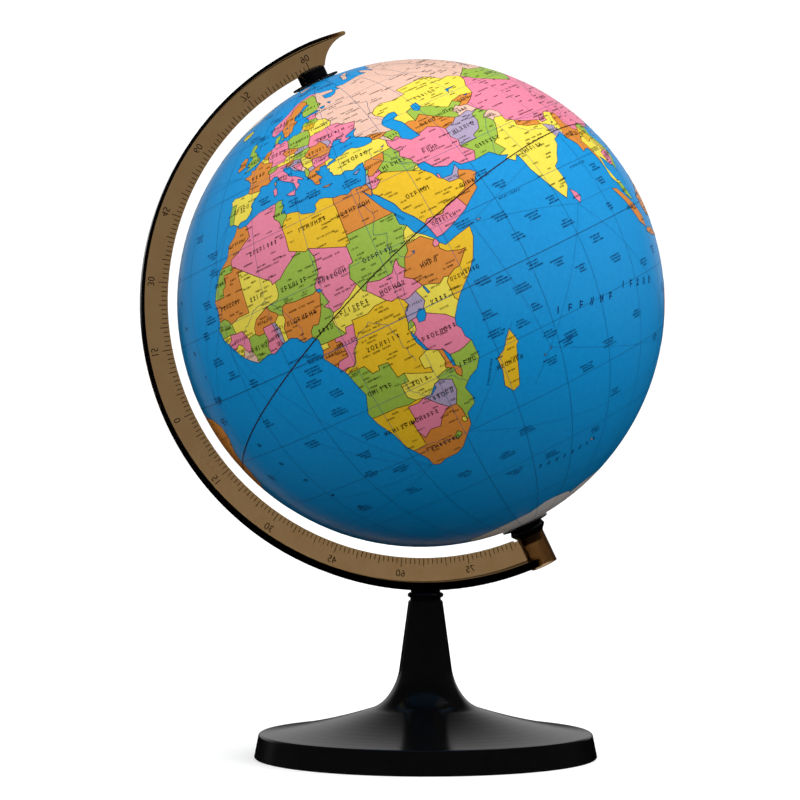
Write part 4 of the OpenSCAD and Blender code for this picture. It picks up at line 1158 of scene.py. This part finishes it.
    def add_word(
        self,
        skin: InkSkin,
        place: Place,
        height: float,
        count: int,
        gap: float = 0.3,
        heading: float = 0.0,
        slant: float = 0.0,
        weight: float = 0.14,
    ) -> None:
        """Sets a row of name marks centred on a place.

        Args:
            skin: the ink it is printed with.
            place: the middle of the row.
            height: the marks' height.
            count: how many marks it has.
            gap: the space between marks, as a share of their height.
            heading: the row's turn from due east, in degrees.
            slant: how far the marks lean, as a share of their height.
            weight: the width of the strokes, as a share of their height.
        """
        pitch = (0.5 + gap) * height
        cos, sin = math.cos(math.radians(heading)), math.sin(math.radians(heading))
        middle = self.sphere.direction(*place)
        east = self.sphere.north.cross(middle).normalized()
        up = middle.cross(east)
        right, rise = east * cos + up * sin, up * cos - east * sin
        per_mm = MM / self.sphere.radius
        for i in range(count):
            left = (i - count / 2) * pitch
            for x0, y0, x1, y1 in self.dice.choice(NAME_MARKS):
                ends = []
                for x, y in ((x0, y0), (x1, y1)):
                    offset = right * (left + (x + slant * y) * height) + rise * ((y - 0.5) * height)
                    ends.append((middle + offset * per_mm).normalized())
                skin.add_stroke(*ends, weight * height, 0.0)

    def build_names(self) -> None:
        """Makes the country, town and sea name marks."""
        names = InkSkin(self.sphere, "name_marks", Ink.NAME, self.name_lift)
        self.add_country_names(names)
        self.add_town_names(names)
        names.build()
        seas = InkSkin(self.sphere, "sea_name_marks", Ink.SEA_NAME, self.name_lift)
        for place, height, count, gap, heading in SEA_NAMES:
            self.add_word(seas, place, height, count, gap, heading, self.sea_slant)
        right, up = self.note_row_shift
        for place in to_places(SEA_NOTES):
            for row in range(self.note_rows):
                start, count = self.sphere.shift(place, right * row, up * row), self.dice.randint(*self.note_marks)
                look = {"slant": self.note_slant, "weight": self.note_weight}
                self.add_word(seas, start, self.note_height, count, self.small_gap, **look)
        seas.build()

    def degree(self) -> float:
        """The length of one degree on the ball, in millimetres."""
        return math.radians(1) * self.sphere.radius / MM

    def add_country_names(self, names: InkSkin) -> None:
        """Sets one row of marks in each country that has room for it.

        Args:
            names: the ink it is printed with.
        """
        areas: dict[int, float] = {}
        for number, owner in enumerate(self.regions.owner):
            if owner >= 0:
                areas[owner] = areas.get(owner, 0.0) + self.regions.size(number)
        shortest, tallest = self.name_heights
        for owner, area in sorted(areas.items()):
            across = math.sqrt(area) * self.degree()
            if across > self.smallest_named:
                count = self.dice.randint(*self.name_marks)
                height = min(tallest, max(shortest, across / count / (0.5 + self.name_gap)))
                self.add_word(names, self.regions.seeds[owner][1], height, count, self.name_gap)

    def add_town_names(self, names: InkSkin) -> None:
        """Scatters small rows of marks over the land, fewer of them in the cold north.

        Args:
            names: the ink they are printed with.
        """
        for number, owner in enumerate(self.regions.owner):
            if owner < 0 or self.regions.seeds[owner][0] is Ink.ICE:
                continue
            middle = self.regions.middle(number)
            land = self.land_per_town if middle[1] < self.cold_from else self.cold_land_per_town
            if self.dice.random() < self.regions.size(number) * self.degree() ** 2 / land:
                count = self.dice.randint(*self.name_marks)
                self.add_word(names, middle, self.town_height, count, self.small_gap, weight=self.town_weight)


@dataclass
class Ball:
    """The printed ball that spins on its axle, with the map turned this many degrees."""

    axis: SpinAxis
    turn: float = 227.0

    def build(self) -> None:
        """Finds the ball's radius from its shells and prints the map on them."""
        centre = self.axis.centre
        shells = [frame["nodes"][name] for name in ("globe_north_half", "globe_south_half")]
        radius = max((v.co - centre).length for shell in shells for v in shell.data.vertices)
        sphere = PrintedSphere(centre, self.axis.north, radius, self.turn)
        log.info("ball radius %.3f mm", radius / MM)
        PrintedMap(sphere, MapRegions()).build()


@dataclass
class ArmScale:
    """The printed scale of degrees on the far face of the arm's web. Sizes are millimetres, angles degrees."""

    axis: SpinAxis
    inner_centre: tuple[float, float] = (1.5, 0.1)
    inner_radius: float = 105.3
    edge_gap: float = 0.35
    face: float = 1.0
    lift: float = 0.02
    tick_width: float = 0.3
    short_tick: float = 2.2
    middle_tick: float = 3.2
    long_tick: float = 3.7
    digit_radius: float = 111.0
    digit_height: float = 2.8
    capital_share: float = 0.7
    first: int = 90
    sweep: int = 180
    last_number: int = 165
    middle_every: int = 5
    long_every: int = 15
    points: list[Vector] = field(default_factory=list)
    faces: list[tuple[int, ...]] = field(default_factory=list)

    def place(self, across: float, along: float) -> Vector:
        """Finds a point on the web's far face.

        Args:
            across: its distance from the ball's centre across the axis.
            along: its distance along the axis.

        Returns:
            The point in metres in the shared frame.
        """
        north = self.axis.north
        side = Vector((0, 1, 0)).cross(north)
        outward = Vector((0, (self.face + self.lift) * MM, 0))
        return self.axis.centre + side * (across * MM) + north * (along * MM) + outward

    def edge(self, angle: float) -> float:
        """Finds the web's inner edge.

        Args:
            angle: a direction from the ball's centre.

        Returns:
            How far the edge is from the centre that way.
        """
        x, y = math.cos(math.radians(angle)), math.sin(math.radians(angle))
        ahead = x * self.inner_centre[0] + y * self.inner_centre[1]
        apart = self.inner_centre[0] ** 2 + self.inner_centre[1] ** 2
        return ahead + math.sqrt(self.inner_radius**2 - apart + ahead**2)

    def add_tick(self, angle: float, length: float) -> None:
        """Adds one mark that starts near the inner edge.

        Args:
            angle: its direction from the ball's centre.
            length: its length.
        """
        x, y = math.cos(math.radians(angle)), math.sin(math.radians(angle))
        near, half = self.edge(angle) + self.edge_gap, self.tick_width / 2
        start = len(self.points)
        for radius, side in ((near, -half), (near + length, -half), (near + length, half), (near, half)):
            self.points.append(self.place(x * radius - y * side, y * radius + x * side))
        self.faces.append((start, start + 1, start + 2, start + 3))

    def add_digits(self, angle: float, text: str) -> None:
        """Adds a number whose top points to the ball and which reads right from the back.

        Args:
            angle: its direction from the ball's centre.
            text: the number.
        """
        curve = bpy.data.curves.new("scale_number", "FONT")
        curve.body, curve.size, curve.resolution_u = text, self.digit_height / self.capital_share, 3
        curve.align_x = "CENTER"
        shape = bpy.data.objects.new("scale_number", curve)
        bpy.context.scene.collection.objects.link(shape)
        mesh = bpy.data.meshes.new_from_object(shape)
        x, y = math.cos(math.radians(angle)), math.sin(math.radians(angle))
        start, base = len(self.points), self.digit_radius + self.digit_height / 2
        for vertex in mesh.vertices:
            radius = base - vertex.co.y
            self.points.append(self.place(x * radius + y * vertex.co.x, y * radius - x * vertex.co.x))
        self.faces += [tuple(start + i for i in polygon.vertices) for polygon in mesh.polygons]
        bpy.data.objects.remove(shape)
        bpy.data.curves.remove(curve)
        bpy.data.meshes.remove(mesh)

    def build(self) -> None:
        """Makes the whole scale as one piece."""
        for degree in range(self.sweep + 1):
            length = self.middle_tick if degree % self.middle_every == 0 else self.short_tick
            self.add_tick(self.first + degree, self.long_tick if degree % self.long_every == 0 else length)
        for degree in range(0, self.last_number + 1, self.long_every):
            self.add_digits(self.first + degree, str(abs(90 - degree)))
        new_piece("arm_scale", self.points, self.faces, SCALE_INK, "stand")


@dataclass
class Stand:
    """The foot, column and arm, whose shapes come from the CAD."""

    finishes: dict[str, Finish] = field(
        default_factory=lambda: {
            "base_shell": GLOSS_BLACK,
            "bottom_cover": COVER_BLACK,
            "cover_screws": ZINC_STEEL,
            "rubber_feet": FOOT_RUBBER,
            "ballast_plate": ZINC_STEEL,
            "arm_screw": ZINC_STEEL,
            "arm_screw_washer": ZINC_STEEL,
            "meridian_arm": SMOKE_CLEAR,
            "north_boss": TRIM_BLACK,
            "north_washer": TRIM_BLACK,
            "south_plug": TRIM_BLACK,
            "south_washer": TRIM_BLACK,
            "axle_rod": ZINC_STEEL,
            "globe_north_half": Ink.SEA.finish(),
            "globe_south_half": Ink.SEA.finish(),
            "equator_band": NATURAL_ACETAL,
            "north_bush": NATURAL_ACETAL,
            "south_bush": NATURAL_ACETAL,
        }
    )

    def dress(self) -> None:
        """Gives every CAD node its finish."""
        for name, finish in self.finishes.items():
            materials = frame["nodes"][name].data.materials
            materials.clear()
            materials.append(finish.material())
            log.info("node %s: %s", name, finish.name)


# Values of one part of a direction, each with the grey that the sky has there.
Stops = tuple[tuple[float, float], ...]


@dataclass
class Studio:
    """The pale floor, the soft light and the camera.

    Lengths are metres, except the lens and the sensor in millimetres; angles are degrees.
    """

    floor_rings: tuple[float, ...] = (0.3, 1.0, 3.0, 20.0)
    floor_sides: int = 96
    softbox_place: tuple[float, float, float] = (0.7, -0.8, 2.1)
    softbox_aim: tuple[float, float, float] = (0.0, 0.0, 0.19)
    softbox_side: float = 1.2
    softbox_watts: float = 15.0
    sky_strength: float = 2.0
    tent_greys: Stops = ((-0.1, 0.09), (-0.06, 0.55), (0.1, 0.55), (0.3, 0.58))
    mirror_greys_by_height: Stops = ((0.03, 0.0), (0.1, 0.22), (0.3, 0.2), (0.55, 0.04))
    mirror_greys_by_depth: Stops = ((0.66, 0.05), (0.86, 1.0))
    camera_place: tuple[float, float, float] = (-0.1772, -1.1289, 0.1277)
    camera_heading: float = 8.395
    camera_pitch: float = 0.938
    lens: float = 124.96
    sensor: float = 36.0

    def build(self) -> None:
        """Makes the floor, the lights and the camera."""
        self.build_floor()
        self.build_sky()
        self.build_softbox()
        self.build_camera()

    def build_floor(self) -> None:
        """Lays a wide round floor under the feet."""
        count = self.floor_sides
        turns = [2 * math.pi * i / count for i in range(count)]
        points = [Vector((0, 0, 0))]
        for radius in self.floor_rings:
            points += [Vector((radius * math.cos(turn), radius * math.sin(turn), 0)) for turn in turns]
        faces: list[tuple[int, ...]] = []
        for i in range(count):
            j = (i + 1) % count
            faces.append((0, 1 + i, 1 + j))
            for near in range(1, 1 + (len(self.floor_rings) - 1) * count, count):
                far = near + count
                faces.append((near + i, far + i, far + j, near + j))
        mesh = bpy.data.meshes.new("floor")
        mesh.from_pydata([tuple(p) for p in points], [], faces)
        floor = bpy.data.objects.new("floor", mesh)
        mesh.materials.append(SWEEP_PAPER.material())
        bpy.context.scene.collection.objects.link(floor)
        floor.visible_diffuse = floor.visible_glossy = False

    @staticmethod
    def fade(tree: bpy.types.NodeTree, part: bpy.types.NodeSocket, stops: Stops) -> bpy.types.Node:
        """Adds a fade of greys over one part of a direction.

        Args:
            tree: the world's node tree.
            part: the part of the direction, from -1 to 1.
            stops: values of that part, each with its grey.

        Returns:
            The colour ramp node.
        """
        share = add_node(tree, "ShaderNodeMapRange", {"From Min": -1.0}, {"Value": part}).outputs["Result"]
        ramp = add_node(tree, "ShaderNodeValToRGB", links={"Fac": share})
        marks = ramp.color_ramp.elements
        for number, (value, grey) in enumerate(stops):
            mark = marks[number] if number < 2 else marks.new(1.0)
            mark.position, mark.color = (value + 1) / 2, (grey, grey, grey, 1.0)
        return ramp

    def build_sky(self) -> None:
        """Surrounds the stage with an even white tent.

        Mirror reflections see another, darker tent, which is grey only in a band behind the object.
        """
        world = bpy.data.worlds.new("studio")
        world.use_nodes = True
        tree = world.node_tree
        tree.nodes.clear()
        way = add_node(tree, "ShaderNodeTexCoord").outputs["Generated"]
        parts = add_node(tree, "ShaderNodeSeparateXYZ", links={"Vector": way}).outputs
        tent = self.fade(tree, parts["Z"], self.tent_greys)
        high = self.fade(tree, parts["Z"], self.mirror_greys_by_height)
        behind = self.fade(tree, parts["Y"], self.mirror_greys_by_depth)
        mirrored = add_node(tree, "ShaderNodeVectorMath", {"operation": "MULTIPLY"})
        tree.links.new(high.outputs["Color"], mirrored.inputs[0])
        tree.links.new(behind.outputs["Color"], mirrored.inputs[1])
        power = {"Strength": self.sky_strength}
        seen = add_node(tree, "ShaderNodeBackground", power, {"Color": tent.outputs["Color"]})
        gleam = add_node(tree, "ShaderNodeBackground", power, {"Color": mirrored.outputs["Vector"]})
        kind = add_node(tree, "ShaderNodeLightPath").outputs
        mirrors = add_node(tree, "ShaderNodeMath", {"operation": "SUBTRACT", "use_clamp": True})
        tree.links.new(kind["Is Glossy Ray"], mirrors.inputs[0])
        tree.links.new(kind["Is Transmission Ray"], mirrors.inputs[1])
        pick = add_node(tree, "ShaderNodeMixShader", links={"Fac": mirrors.outputs["Value"]})
        tree.links.new(seen.outputs["Background"], pick.inputs[1])
        tree.links.new(gleam.outputs["Background"], pick.inputs[2])
        add_node(tree, "ShaderNodeOutputWorld", links={"Surface": pick.outputs["Shader"]})
        bpy.context.scene.world = world

    def build_softbox(self) -> None:
        """Hangs a square softbox that points at the ball and doesn't show in mirrors."""
        light = bpy.data.lights.new("key_softbox", "AREA")
        light.shape, light.size, light.energy = "SQUARE", self.softbox_side, self.softbox_watts
        box = bpy.data.objects.new("key_softbox", light)
        box.location = self.softbox_place
        aim = Vector(self.softbox_aim) - box.location
        box.rotation_euler = aim.to_track_quat("-Z", "Y").to_euler()
        box.visible_glossy = False
        bpy.context.scene.collection.objects.link(box)

    def build_camera(self) -> None:
        """Sets the camera."""
        lens = bpy.data.cameras.new("camera")
        lens.lens, lens.sensor_width = self.lens, self.sensor
        camera = bpy.data.objects.new("camera", lens)
        heading, pitch = math.radians(self.camera_heading), math.radians(self.camera_pitch)
        ahead = Vector((math.sin(heading) * math.cos(pitch), math.cos(heading) * math.cos(pitch), math.sin(pitch)))
        camera.location = self.camera_place
        camera.rotation_euler = ahead.to_track_quat("-Z", "Y").to_euler()
        bpy.context.scene.collection.objects.link(camera)
        bpy.context.scene.camera = camera


def main() -> None:
    """Dresses the stand, prints the ball and sets the stage."""
    logging.basicConfig(level=logging.INFO, format="%(name)s: %(message)s")
    spin = frame["joints"][0]
    axis = SpinAxis(Vector(spin["pos_m"]), Vector(spin["axis"]).normalized())
    Stand().dress()
    ArmScale(axis).build()
    Ball(axis).build()
    Studio().build()
    bpy.context.scene.view_settings.view_transform = "Standard"


if __name__ == "__main__":
    main()
